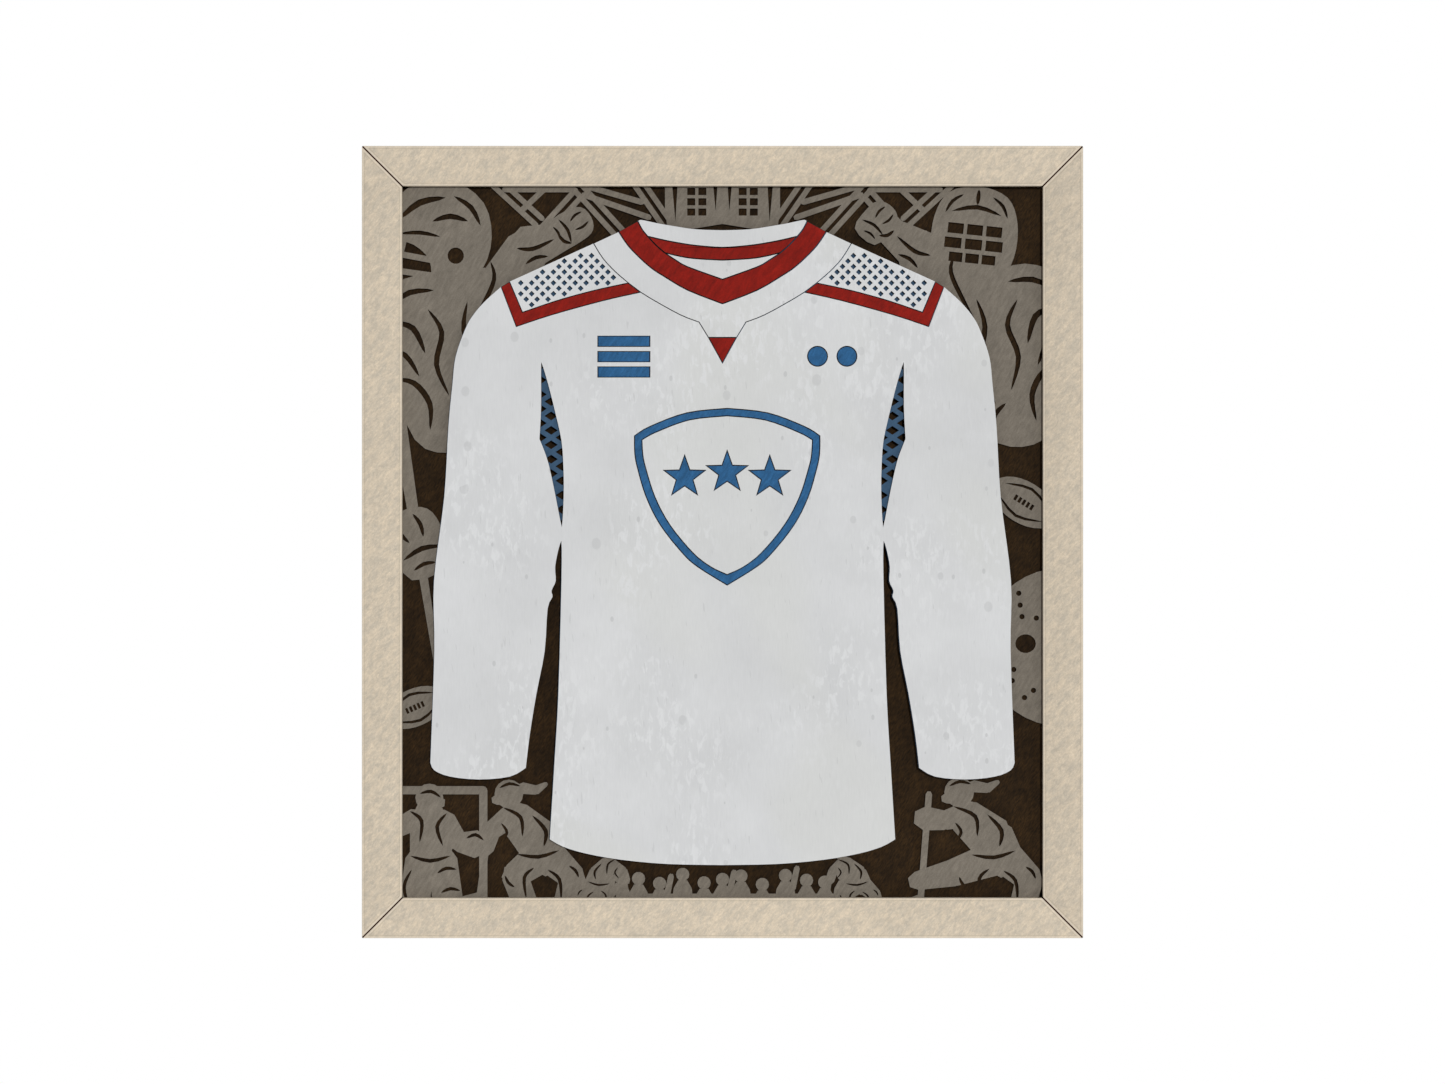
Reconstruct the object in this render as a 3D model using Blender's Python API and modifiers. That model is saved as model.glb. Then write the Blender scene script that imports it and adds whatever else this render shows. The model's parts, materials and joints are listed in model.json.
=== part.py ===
"""A layered plywood jersey plaque in a mitred, rabbeted frame, with its back hardware.

The plaque faces -Y and hangs on a wall at y = 0. Outlines are drawn in millimetres, x to the
right and z up from the middle of the frame. The world origin is on the wall, midway between
the two hanging rings, HANG_HEIGHT above the middle of the frame.
"""
import math

import bmesh
import bpy
from mathutils import Vector
from mathutils.geometry import delaunay_2d_cdt

MM = 0.001

# Frame, in millimetres
FRAME_WIDTH = 400.0
FRAME_HEIGHT = 439.4
RAIL_WIDTH = 22.2
RABBET = 5.5            # how far the rabbet runs under the face of a rail
LAYER = 3.0             # every sheet is 3 mm plywood
GAP = 0.3               # clearance between neighbouring pieces
EDGE_PLAY = 0.5         # clearance round the sheets that lie in the rabbet
BORDER_HIDE = 0.5       # the fretwork's border stops this far short of the window
SEAM = 0.4              # laser kerf between a pocket and its inlay
FACE_RECESS = 0.3       # the jersey lies this far behind the face of the rails
WALL_GAP = 6.0          # the rubber pads hold the rails this far off the wall
BACKER_SHIFT = -0.4     # the blue layer is glued slightly to one side

# Back hardware, in millimetres
HANG_HEIGHT = 120.0
HANGER_INSET = 1.0      # the hangers sit this far inside the middle of the rail's back
RAIL_BACK_WIDTH = RAIL_WIDTH - RABBET
SHANK_RADIUS = 1.6
HEAD_RADIUS = 3.4
HEAD_HEIGHT = 1.8
PILOT_DEPTH = 9.0
TIP_CLEARANCE = 1.0     # from a screw's tip to the end of its pilot hole
BUTTON_THICKNESS = 1.5
BUTTON_WIDTH = 9.0
BUTTON_REACH = 14.0
BUTTON_TAIL = 4.5
BUTTON_HEIGHTS = (62.0, -95.0)
STRAP_WIDTH = 9.0
STRAP_THICKNESS = 1.0
STRAP_LENGTH = 27.5
RING_WIRE = 2.2
RING_HALF_WIDTH = 6.2
RING_DROP = 15.5
RING_BEND = 2.2
STRAP_SCREW_DROP = 22.5
PAD_RADIUS = 6.0
PAD_HEIGHT = 190.0
PAD_CHAMFER = 0.8
WEDGE_DEPTH = 7.0
WEDGE_LEG = 6.5
WEDGE_POINT = 3.0       # from the middle of the mitre to the point of the chevron
WEDGE_THICKNESS = 1.0

# Pierced patterns, in millimetres
YOKE_PITCH = 3.02
YOKE_DIAMOND = 1.35
YOKE_MARGIN = 2.2
LATTICE_PITCH_X = 6.15
LATTICE_PITCH_Z = 4.0
LATTICE_DIAMOND = (3.7, 2.45)

# Depth of each layer's front face, in millimetres along Y
RAIL_BACK = -WALL_GAP
PANEL_FRONT = RAIL_BACK - GAP - LAYER
FRETWORK_FRONT = PANEL_FRONT - GAP - LAYER
BACKER_FRONT = FRETWORK_FRONT - GAP - LAYER
JERSEY_FRONT = BACKER_FRONT - GAP - LAYER
RAIL_FRONT = JERSEY_FRONT - FACE_RECESS
RAIL_DEPTH = RAIL_BACK - RAIL_FRONT
LIP_BACK = FRETWORK_FRONT - GAP

HALF_WIDTH = FRAME_WIDTH / 2
HALF_HEIGHT = FRAME_HEIGHT / 2
WINDOW_X = HALF_WIDTH - RAIL_WIDTH
WINDOW_Z = HALF_HEIGHT - RAIL_WIDTH
RAIL_BACK_MIDDLE = RAIL_BACK_WIDTH / 2


# ---------------------------------------------------------------- outlines

def smooth(points, steps=4, closed=False):
    """Points of a Catmull-Rom curve through the given points."""
    count = len(points)
    spans = count if closed else count - 1
    result = []
    for i in range(spans):
        if closed:
            p = [points[(i + k) % count] for k in (-1, 0, 1, 2)]
        else:
            p = [points[min(max(i + k, 0), count - 1)] for k in (-1, 0, 1, 2)]
        for step in range(steps):
            t = step / steps
            result.append(tuple(catmull_rom([q[axis] for q in p], t) for axis in (0, 1)))
    if not closed:
        result.append(points[-1])
    return result


def catmull_rom(p, t):
    """One coordinate of a Catmull-Rom span between p[1] and p[2]."""
    a = 2 * p[1]
    b = p[2] - p[0]
    c = 2 * p[0] - 5 * p[1] + 4 * p[2] - p[3]
    d = -p[0] + 3 * p[1] - 3 * p[2] + p[3]
    return (a + b * t + c * t * t + d * t ** 3) / 2


def mirrored(points):
    """Points on the other side of the middle line, in reverse order."""
    return [(-x, z) for x, z in reversed(points)]


def join(*runs):
    """One loop from runs that meet end to end."""
    loop = []
    for run in runs:
        for point in run:
            if not loop or math.dist(point, loop[-1]) > 0.01:
                loop.append(point)
    if math.dist(loop[0], loop[-1]) < 0.01:
        loop.pop()
    return loop


def area(loop):
    """Signed area of a loop, positive when it runs anticlockwise."""
    pairs = zip(loop, loop[1:] + loop[:1])
    return sum(a[0] * b[1] - b[0] * a[1] for a, b in pairs) / 2


def offset(loop, distance):
    """The loop moved outwards by distance, or inwards when it is negative."""
    side = 1 if area(loop) > 0 else -1
    result = []
    for i, (x, z) in enumerate(loop):
        before, after = loop[i - 1], loop[(i + 1) % len(loop)]
        normals = []
        for (ax, az), (bx, bz) in ((before, (x, z)), ((x, z), after)):
            length = math.hypot(bx - ax, bz - az)
            normals.append(((bz - az) / length * side, (ax - bx) / length * side))
        nx = normals[0][0] + normals[1][0]
        nz = normals[0][1] + normals[1][1]
        scale = distance / max((nx * nx + nz * nz) / 2, 0.25)
        result.append((x + nx * scale, z + nz * scale))
    return result


def inside(point, loop):
    """Whether a point lies inside a loop."""
    x, z = point
    hit = False
    for (ax, az), (bx, bz) in zip(loop, loop[1:] + loop[:1]):
        if (az > z) != (bz > z) and x < (bx - ax) * (z - az) / (bz - az) + ax:
            hit = not hit
    return hit


def oval(x, z, a, b, turn=0.0, steps=24):
    """An ellipse with half axes a and b, turned by degrees."""
    c, s = math.cos(math.radians(turn)), math.sin(math.radians(turn))
    loop = []
    for i in range(steps):
        u = a * math.cos(2 * math.pi * i / steps)
        v = b * math.sin(2 * math.pi * i / steps)
        loop.append((x + u * c - v * s, z + u * s + v * c))
    return loop


def disc(x, z, radius, steps=16):
    return oval(x, z, radius, radius, steps=steps)


def box(x0, z0, x1, z1):
    return [(x0, z0), (x1, z0), (x1, z1), (x0, z1)]


def window_box(margin):
    """The frame's window, grown by margin all round."""
    return box(-WINDOW_X - margin, -WINDOW_Z - margin, WINDOW_X + margin, WINDOW_Z + margin)


def diamond(x, z, half_width, half_height):
    return [(x + half_width, z), (x, z + half_height), (x - half_width, z), (x, z - half_height)]


def star(x, z, radius, inner):
    """A five-pointed star, point up."""
    points = []
    for i in range(10):
        r = radius if i % 2 == 0 else inner
        angle = math.pi / 2 + i * math.pi / 5
        points.append((x + r * math.cos(angle), z + r * math.sin(angle)))
    return points


def capsule(a, b, steps=3):
    """A rounded bar from a to b, each an (x, z, radius)."""
    along = math.atan2(b[1] - a[1], b[0] - a[0])
    loop = []
    for (x, z, r), start in ((b, along - math.pi / 2), (a, along + math.pi / 2)):
        for i in range(steps + 1):
            angle = start + math.pi * i / steps
            loop.append((x + r * math.cos(angle), z + r * math.sin(angle)))
    return loop


def limb(*joints):
    """Rounded bars through a chain of (x, z, radius) joints."""
    return [capsule(a, b) for a, b in zip(joints, joints[1:])]


def stroke(points, width, steps=4):
    """A cut like a brush stroke along a curve: widest in its middle, pointed at both ends."""
    path = smooth(points, steps)
    left, right = [], []
    for i in range(1, len(path) - 1):
        (ax, az), (x, z), (bx, bz) = path[i - 1:i + 2]
        half = width / 2 * math.sin(math.pi * i / (len(path) - 1)) ** 0.7
        half /= math.hypot(bx - ax, bz - az)
        left.append((x - (bz - az) * half, z + (bx - ax) * half))
        right.append((x + (bz - az) * half, z - (bx - ax) * half))
    return [path[0], *left, path[-1], *right[::-1]]


def slit(a, b, bow, width):
    """A short stroke from a to b that bends by bow."""
    length = math.dist(a, b)
    middle = ((a[0] + b[0]) / 2 - (b[1] - a[1]) / length * bow,
              (a[1] + b[1]) / 2 + (b[0] - a[0]) / length * bow)
    return stroke([a, middle, b], width, 3)


def moved(loop, x, z, scale=1.0, turn=0.0, flip=False):
    """A loop scaled, turned by degrees, flipped left to right and moved."""
    c, s = math.cos(math.radians(turn)), math.sin(math.radians(turn))
    side = -1 if flip else 1
    return [(x + side * scale * (u * c - v * s), z + scale * (u * s + v * c)) for u, v in loop]


# ---------------------------------------------------------------- materials and solids

def linear(channel):
    """An sRGB channel from 0 to 255 as a linear value."""
    c = channel / 255
    return c / 12.92 if c <= 0.04045 else ((c + 0.055) / 1.055) ** 2.4


def material(name, colour, roughness, metallic=0.0):
    mat = bpy.data.materials.new(name)
    mat.use_nodes = True
    shader = mat.node_tree.nodes["Principled BSDF"]
    rgba = [linear(channel) for channel in colour] + [1.0]
    shader.inputs["Base Color"].default_value = rgba
    shader.inputs["Roughness"].default_value = roughness
    shader.inputs["Metallic"].default_value = metallic
    mat.diffuse_color = rgba
    return mat


def place(obj, collection, mat=None):
    """Link an object, give it its material and hang it on the frame's middle."""
    collection.objects.link(obj)
    obj.parent = MIDDLE
    if mat:
        obj.data.materials.append(mat)
    if collection is CUTTERS:
        obj.hide_render = True
        obj.display_type = 'WIRE'
    return obj


def plate(name, loops, front, thickness, mat=None, collection=None):
    """A flat plate whose front face is at y = front; a loop inside another is a hole."""
    data = bpy.data.curves.new(name, 'CURVE')
    data.dimensions = '2D'
    data.fill_mode = 'BOTH'
    data.extrude = thickness / 2 * MM
    for loop in loops:
        spline = data.splines.new('POLY')
        spline.points.add(len(loop) - 1)
        for point, (x, z) in zip(spline.points, loop):
            point.co = (x * MM, z * MM, 0, 1)
        spline.use_cyclic_u = True
    obj = bpy.data.objects.new(name, data)
    obj.rotation_euler.x = math.pi / 2
    obj.location.y = (front + thickness / 2) * MM
    return place(obj, collection or PARTS, mat)


def solids(curves):
    """Turn filled curves into closed meshes whose faces all point out."""
    bpy.context.view_layer.update()
    graph = bpy.context.evaluated_depsgraph_get()
    meshes = [bpy.data.meshes.new_from_object(curve.evaluated_get(graph)) for curve in curves]
    result = []
    for curve, mesh in zip(curves, meshes):
        bm = bmesh.new()
        bm.from_mesh(mesh)
        bmesh.ops.remove_doubles(bm, verts=bm.verts, dist=1e-6)
        bmesh.ops.recalc_face_normals(bm, faces=bm.faces)
        bm.to_mesh(mesh)
        bm.free()
        name = curve.name
        obj = bpy.data.objects.new(name + ".solid", mesh)
        place(obj, curve.users_collection[0])
        obj.matrix_basis = curve.matrix_basis
        bpy.data.objects.remove(curve)
        obj.name = name
        result.append(obj)
    return result


def cylinder(name, radius, y0, y1, x, z, steps=16):
    """A cutter along Y from y0 to y1."""
    mesh = bpy.data.meshes.new(name)
    bm = bmesh.new()
    bmesh.ops.create_cone(bm, cap_ends=True, segments=steps, radius1=radius * MM,
                          radius2=radius * MM, depth=(y1 - y0) * MM)
    bm.to_mesh(mesh)
    bm.free()
    obj = place(bpy.data.objects.new(name, mesh), CUTTERS)
    obj.rotation_euler.x = math.pi / 2
    obj.location = (x * MM, (y0 + y1) / 2 * MM, z * MM)
    return obj


def cut(obj, cutter):
    """Cut an object with another."""
    modifier = obj.modifiers.new(cutter.name, 'BOOLEAN')
    modifier.solver = 'EXACT'
    modifier.operation = 'DIFFERENCE'
    modifier.object = cutter


def turned(name, profile, mat, steps):
    """A solid turned about Y from (radius, height) points, outer side first from the top.

    The height runs along +Y, away from the frame.
    """
    mesh = bpy.data.meshes.new(name)
    points = [(r * MM, 0, h * MM) for r, h in profile]
    mesh.from_pydata(points, [(i, i + 1) for i in range(len(points) - 1)], [])
    obj = place(bpy.data.objects.new(name, mesh), PARTS, mat)
    obj.rotation_euler.x = -math.pi / 2
    modifier = obj.modifiers.new("turn", 'SCREW')
    modifier.steps = modifier.render_steps = steps
    modifier.use_merge_vertices = True
    modifier.merge_threshold = 1e-5
    modifier.use_smooth_shade = True
    return obj


# ---------------------------------------------------------------- lines of the jersey
# Left half as seen from the front, so x is negative.

NECK_TIP = (-47.0, 178.1)
NECK_TOP = smooth([NECK_TIP, (-44.8, 178.9), (-35.7, 177.0), (-25.0, 175.2), (-14.6, 173.7),
                   (0.0, 173.2)], 3)
BAND_LOWER = smooth([(-41.5, 169.6), (-30.7, 167.1), (-18.0, 164.9), (-6.3, 163.7),
                     (0.0, 163.4)], 3)
TRIM_LOWER = smooth([(-32.0, 160.4), (-23.5, 158.4), (-14.6, 157.1), (0.0, 156.3)], 3)
V_INNER_TOP = smooth([NECK_TIP, (-44.6, 173.5), (-41.5, 169.6)], 3)
V_INNER_MIDDLE = smooth([(-41.5, 169.6), (-36.9, 164.6), (-32.0, 160.4)], 3)
V_INNER_LOWER = smooth([(-32.0, 160.4), (-25.8, 156.3), (-19.2, 152.6), (0.0, 145.7)], 3)
V_OUTER = smooth([(-57.7, 172.2), (-52.4, 164.4), (-45.7, 157.4), (-39.3, 151.8), (-32.4, 147.3),
                  (-19.2, 139.6), (0.0, 132.1)], 3)
SEAM_UPPER = smooth([(-71.6, 165.7), (-66.2, 157.1), (-59.6, 150.0), (-52.3, 143.7)], 3)
SEAM_MIDDLE = smooth([(-52.3, 143.7), (-45.4, 138.5)], 2)
SEAM_LOWER = smooth([(-45.4, 138.5), (-37.7, 133.8), (-23.5, 126.0), (-13.0, 121.9)], 3)
TAB = [(-13.0, 121.9), (-7.9, 113.5)]
GUSSET_TIP = (0.0, 99.2)
SHOULDER_CORNER = (-122.9, 141.7)
YOKE_CORNER = (-118.1, 144.6)
YOKE_LOWER = smooth([(-110.9, 127.5), (-92.9, 133.6), (-81.2, 137.0), (-67.9, 140.4),
                     (-52.3, 143.7)], 3)
STRIPE_LOWER = smooth([(-114.4, 119.4), (-94.5, 126.0), (-66.2, 133.8), (-45.4, 138.5)], 3)
SLEEVE_OUTER = smooth([SHOULDER_CORNER, (-131.7, 133.8), (-138.4, 126.0), (-142.8, 118.2),
                       (-148.2, 102.7), (-150.0, 87.2), (-152.2, 63.9), (-154.5, 25.0),
                       (-160.2, -21.6), (-160.0, -60.4), (-162.2, -122.5)], 4)
CUFF = smooth([(-162.2, -122.5), (-159.9, -126.8), (-151.1, -130.3), (-135.1, -131.9),
               (-117.8, -130.3), (-108.9, -125.4)], 3)
SLEEVE_INNER = smooth([(-108.9, -125.4), (-106.7, -107.0), (-102.9, -83.7), (-98.4, -60.4),
                       (-96.8, -37.1), (-94.1, -30.5), (-94.6, -27.0), (-92.3, -21.6),
                       (-92.6, -13.8), (-91.0, -5.0), (-89.4, 0.4)], 3)
BODY_SIDE = smooth([(-89.4, 0.4), (-89.5, -21.6), (-91.2, -83.7), (-93.4, -122.5),
                    (-96.0, -165.0)], 3)
HEM = smooth([(-96.0, -165.0), (-88.4, -169.2), (-75.7, -173.0), (-56.5, -176.4),
              (-30.5, -178.8), (0.0, -179.4)], 3)
SLIT = join(smooth([(-100.5, 99.7), (-96.8, 87.2), (-92.9, 71.6), (-89.5, 56.1), (-88.4, 40.6),
                    (-88.3, 25.0), (-89.1, 8.3)], 3),
            smooth([(-89.1, 8.3), (-92.3, 25.0), (-95.6, 40.6), (-98.0, 48.9),
                    (-101.3, 57.2)], 3),
            smooth([(-101.3, 57.2), (-100.4, 75.0), (-100.5, 99.7)], 3))

# Right half of the shield, from its own middle line
SHIELD_MIDDLE = 2.6
SHIELD_OUTER = join(smooth([(0.0, 74.2), (22.5, 71.7), (43.0, 64.1), (51.5, 58.9)], 4),
                    smooth([(51.5, 58.9), (51.3, 49.0), (49.7, 40.6), (45.0, 25.0), (37.2, 9.5),
                            (25.0, -6.0), (16.4, -13.8), (0.0, -24.0)], 4))
SHIELD_INNER = join(smooth([(0.0, 69.9), (21.0, 67.6), (39.5, 60.8), (47.2, 56.6)], 4),
                    smooth([(47.2, 56.6), (46.7, 48.3), (45.0, 40.6), (40.0, 25.0), (31.7, 9.5),
                            (18.9, -6.0), (8.9, -13.8), (0.0, -18.0)], 4))
STAR_RADIUS = 12.4
STAR_INNER = 5.0
STAR_PITCH = 23.6
STAR_HEIGHT = 36.0
STAR_ARCH = 2.6         # the middle star stands this much higher


def shield_loop(half):
    """A whole shield outline from its right half."""
    return [(x + SHIELD_MIDDLE, z) for x, z in join(half, mirrored(half))]


def silhouette():
    """The outline of the whole jersey."""
    shoulder = [V_OUTER[0], SEAM_UPPER[0], YOKE_CORNER]
    left = join(NECK_TOP[::-1], shoulder, SLEEVE_OUTER, CUFF, SLEEVE_INNER, BODY_SIDE, HEM)
    return join(left, mirrored(left))


def crest_stars():
    return [star(SHIELD_MIDDLE + STAR_PITCH * i, STAR_HEIGHT + STAR_ARCH * (1 - abs(i)),
                 STAR_RADIUS, STAR_INNER) for i in (-1, 0, 1)]


def chest_bars():
    return [box(-69.2, z - 2.9, -40.2, z + 2.9) for z in (111.3, 102.8, 94.3)]


def chest_dots():
    return [disc(x, 103.0, 5.6, steps=28) for x in (52.7, 69.0)]


def yoke_loop():
    return join([YOKE_CORNER, (-71.6, 165.7)], SEAM_UPPER, YOKE_LOWER[::-1])


def yoke_holes():
    """Small square diamonds on a staggered grid, kept clear of the yoke's edge."""
    border = offset(yoke_loop(), -YOKE_MARGIN)
    spots = [(-114.9 + YOKE_PITCH * (2 * column + row % 2), 128.6 + YOKE_PITCH * row)
             for row in range(16) for column in range(12)]
    return [diamond(*spot, YOKE_DIAMOND, YOKE_DIAMOND) for spot in spots if inside(spot, border)]


def lattice_holes():
    """Diamonds behind the armpit slit, on a staggered grid."""
    border = offset(SLIT, 1.4)
    spots = [(-100.9 + LATTICE_PITCH_X * (2 * column + row % 2), 2.0 + LATTICE_PITCH_Z * row)
             for row in range(28) for column in range(3)]
    return [diamond(*spot, *LATTICE_DIAMOND) for spot in spots if inside(spot, border)]


def inlay(name, loop, mat, holes=()):
    """A piece of the jersey's face, half a seam smaller all round than its outline."""
    loops = [offset(loop, -SEAM / 2)] + [offset(hole, SEAM / 2) for hole in holes]
    return plate(name, loops, JERSEY_FRONT, LAYER, mat)


def build_jersey():
    """The white, red and blue pieces of the jersey's face, and the blue layer under them."""
    left = join([SHOULDER_CORNER], SLEEVE_OUTER, CUFF, SLEEVE_INNER, BODY_SIDE, HEM)
    top = join([GUSSET_TIP], TAB[::-1], SEAM_LOWER[::-1], STRIPE_LOWER[::-1], [SHOULDER_CORNER])
    body = join(top, left, mirrored(left), mirrored(top))
    shield, field = shield_loop(SHIELD_OUTER), shield_loop(SHIELD_INNER)
    pockets = [SLIT, mirrored(SLIT), shield, *chest_bars(), *chest_dots()]
    inlay("jersey_front", body, WHITE, pockets)

    band = join(V_OUTER[::-1], [(-71.6, 165.7)], SEAM_UPPER, SEAM_MIDDLE, SEAM_LOWER, TAB)
    inlay("collar_band", join(band, mirrored(band)), WHITE)
    v_inner = join(V_INNER_TOP, V_INNER_MIDDLE, V_INNER_LOWER)
    trim = join(v_inner[::-1], V_OUTER)
    inlay("collar_trim", join(trim, mirrored(trim)), RED)
    upper = join(NECK_TOP[::-1], V_INNER_TOP, BAND_LOWER)
    inlay("back_neck_band", join(upper, mirrored(upper)), WHITE)
    middle = join(BAND_LOWER[::-1], V_INNER_MIDDLE, TRIM_LOWER)
    inlay("back_neck_trim", join(middle, mirrored(middle)), RED)
    lower = join(TRIM_LOWER[::-1], V_INNER_LOWER)
    inlay("neck_insert", join(lower, mirrored(lower)), WHITE)
    inlay("collar_gusset", [(-7.9, 113.5), GUSSET_TIP, (7.9, 113.5)], RED)

    stripe = join([SHOULDER_CORNER, YOKE_CORNER], YOKE_LOWER, SEAM_MIDDLE, STRIPE_LOWER[::-1])
    for side, turn in (("left", list), ("right", mirrored)):
        inlay("yoke_" + side, turn(yoke_loop()), WHITE, [turn(h) for h in yoke_holes()])
        inlay("shoulder_stripe_" + side, turn(stripe), RED)

    for i, loop in enumerate(chest_bars(), 1):
        inlay(f"chest_bar_{i}", loop, BLUE)
    for i, loop in enumerate(chest_dots(), 1):
        inlay(f"chest_dot_{i}", loop, BLUE)
    inlay("shield_ring", shield, BLUE, [field])
    solids([inlay("shield_field", field, WHITE, crest_stars())])
    for i, loop in enumerate(crest_stars(), 1):
        inlay(f"crest_star_{i}", loop, BLUE)

    holes = lattice_holes()
    holes += [mirrored(h) for h in holes]
    backer = [offset(silhouette(), -SEAM / 2)] + holes
    backer = [[(x + BACKER_SHIFT, z) for x, z in loop] for loop in backer]
    plate("jersey_backer", backer, BACKER_FRONT, LAYER, BLUE)


# ---------------------------------------------------------------- fretwork

def backing():
    """The solid middle of the fretwork, hidden under the jersey."""
    left = [(-50, 166), (-116, 138), (-131, 124), (-142, 104), (-146, 60), (-150, 0), (-155, -30),
            (-156, -119), (-113, -120), (-111, -100), (-106, -60), (-103, -36), (-99, -5),
            (-97, 10), (-99, 30), (-104, 50), (-105, 102), (-98, 104), (-93, 88), (-89, 72),
            (-86, 56), (-84.5, 40), (-84.5, 8), (-85.5, -30), (-87, -100), (-91, -159),
            (-60, -170)]
    return left + mirrored(left)


def helmet_side():
    """A closed sports helmet from the side, facing -x, about 44 mm long."""
    shell = smooth([(-20, 0), (-19, 11), (-10, 21), (4, 24), (17, 17), (22, 4), (20, -9),
                    (12, -17), (2, -16), (-1, -8), (-8, -3)], 3, closed=True)
    cage = limb((-19, 2, 1.5), (-23, -10, 1.5), (-15, -21, 1.5), (0, -19, 1.5))
    cage += limb((-22, -7, 1.2), (0, -8, 1.2)) + limb((-20, -14, 1.2), (1, -14, 1.2))
    cage += limb((-12, -2, 1.2), (-14, -20, 1.2))
    cuts = [disc(9, -5, 3.2), slit((-15, 6), (2, 17), 2.5, 2.6), slit((-2, 7), (12, 9), 2.0, 2.2),
            slit((5, 18), (17, 8), 2.0, 2.0), slit((-14, 0.5), (2, 1.5), 1.0, 1.6)]
    return [shell] + cage, cuts


def helmet_front():
    """A sports helmet from the front with a barred guard, about 40 mm wide."""
    shell = smooth([(0, 24), (14, 20), (20, 8), (20, -8), (14, -20), (0, -24), (-14, -20),
                    (-20, -8), (-20, 8), (-14, 20)], 4, closed=True)
    cuts = []
    for row, (low, high, half) in enumerate(((0.5, 5.5, 14.0), (-6.5, -1.5, 15.0),
                                             (-13.0, -8.5, 12.0))):
        for column in (-1, 0, 1):
            middle = column * half * 0.66
            wide = half * 0.27
            cuts.append(box(middle - wide, low, middle + wide, high))
    cuts += [slit((-12, 11), (12, 11), 3.0, 2.2), slit((0, 15), (0, 22.5), 0.0, 2.0),
             slit((-15, 10), (-7, 19.5), 1.5, 1.6), slit((15, 10), (7, 19.5), -1.5, 1.6)]
    return [shell], cuts


def shoulders():
    """Padded shoulders over a tapering body, about 72 mm wide, with folds cut as slits."""
    body = smooth([(-36, 4), (-32, 17), (-17, 23), (0, 21), (17, 24), (31, 20), (37, 4),
                   (33, -24), (25, -44), (9, -60), (-8, -66), (-24, -58), (-34, -24)], 3,
                  closed=True)
    neck = capsule((4, 14, 11), (4, 30, 10))
    cuts = [slit((-31, 9), (-8, 15), 3.0, 2.8),
            stroke([(-30, 1), (-20, -3), (-15, -16)], 3.0),
            stroke([(-35, -11), (-25, -16), (-19, -27)], 2.6),
            stroke([(-33, -27), (-22, -30), (-15, -41), (-16, -54)], 3.0),
            stroke([(-12, 6), (-6, -6), (-10, -22), (-5, -38)], 2.8),
            stroke([(30, -2), (20, -6), (15, -20)], 3.0),
            stroke([(33, -18), (23, -22), (17, -36)], 2.6),
            stroke([(8, 8), (5, -6), (9, -24), (3, -44)], 2.8),
            slit((-2, -44), (6, -56), 2.0, 2.4)]
    return [body, neck], cuts


def arm():
    """A thick raised forearm, about 60 mm long, with sleeve folds."""
    cuts = [stroke([(4, 19), (13, 20), (24, 27)], 2.4), slit((10, 11), (22, 17), 1.6, 2.2),
            slit((26, 30), (34, 26), -1.5, 2.0)]
    return limb((0, -4, 15), (10, 20, 12.5), (30, 30, 7.5)), cuts


def sleeve_fold():
    """A long curved cut between a raised arm and the body."""
    return [], [stroke([(21, 32), (23, 22), (16, 6), (3, -19)], 2.6)]


def bat():
    """A tapering bat, 170 mm long, its thick end up."""
    return limb((0, -85, 1.6), (0, -10, 2.6), (0, 85, 4.6)), []


def glove():
    """A padded glove, about 25 mm long, fingers up."""
    hand = smooth([(-8, -12), (-10, 2), (-7, 11), (1, 13), (8, 10), (10, 2), (8, -12)], 3,
                  closed=True)
    cuts = [slit((-8, -4), (8, -5), 1.8, 1.9), slit((-3.2, 1), (-4.6, 10), 1.0, 1.6),
            slit((2.4, 1), (2.2, 10.5), -1.0, 1.6), slit((-6, -9), (3, -9.5), 1.0, 1.5)]
    return [hand], cuts


def laced_ball(half_length):
    """An oval ball with a row of lace slots and a seam at each end."""
    half_width = half_length * 0.58
    cuts = [box(half_length * (0.13 * i - 0.04), -1.6, half_length * (0.13 * i + 0.04), 1.6)
            for i in range(-2, 3)]
    for side in (-1, 1):
        near, far = half_length * 0.74, half_width * 0.3 * side
        cuts.append(slit((-near, far), (near, far), side * half_width * 0.44, 1.6))
    return [oval(0, 0, half_length, half_width, steps=28)], cuts


def vented_guard():
    """The side of a round face guard, 88 mm across, with an eye hole and small vents."""
    vents = [(-23.8, 30.0), (-23.0, 23.4), (-22.0, 17.0), (-14.0, 16.2), (-26.6, -12.4),
             (-27.4, -18.6), (-15.6, -24.0), (-20.6, -28.0)]
    cuts = [oval(-20, 2, 5.7, 5.2, steps=18)] + [disc(x, z, 1.5, steps=10) for x, z in vents]
    return [disc(0, 0, 44, steps=40)], cuts


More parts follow.
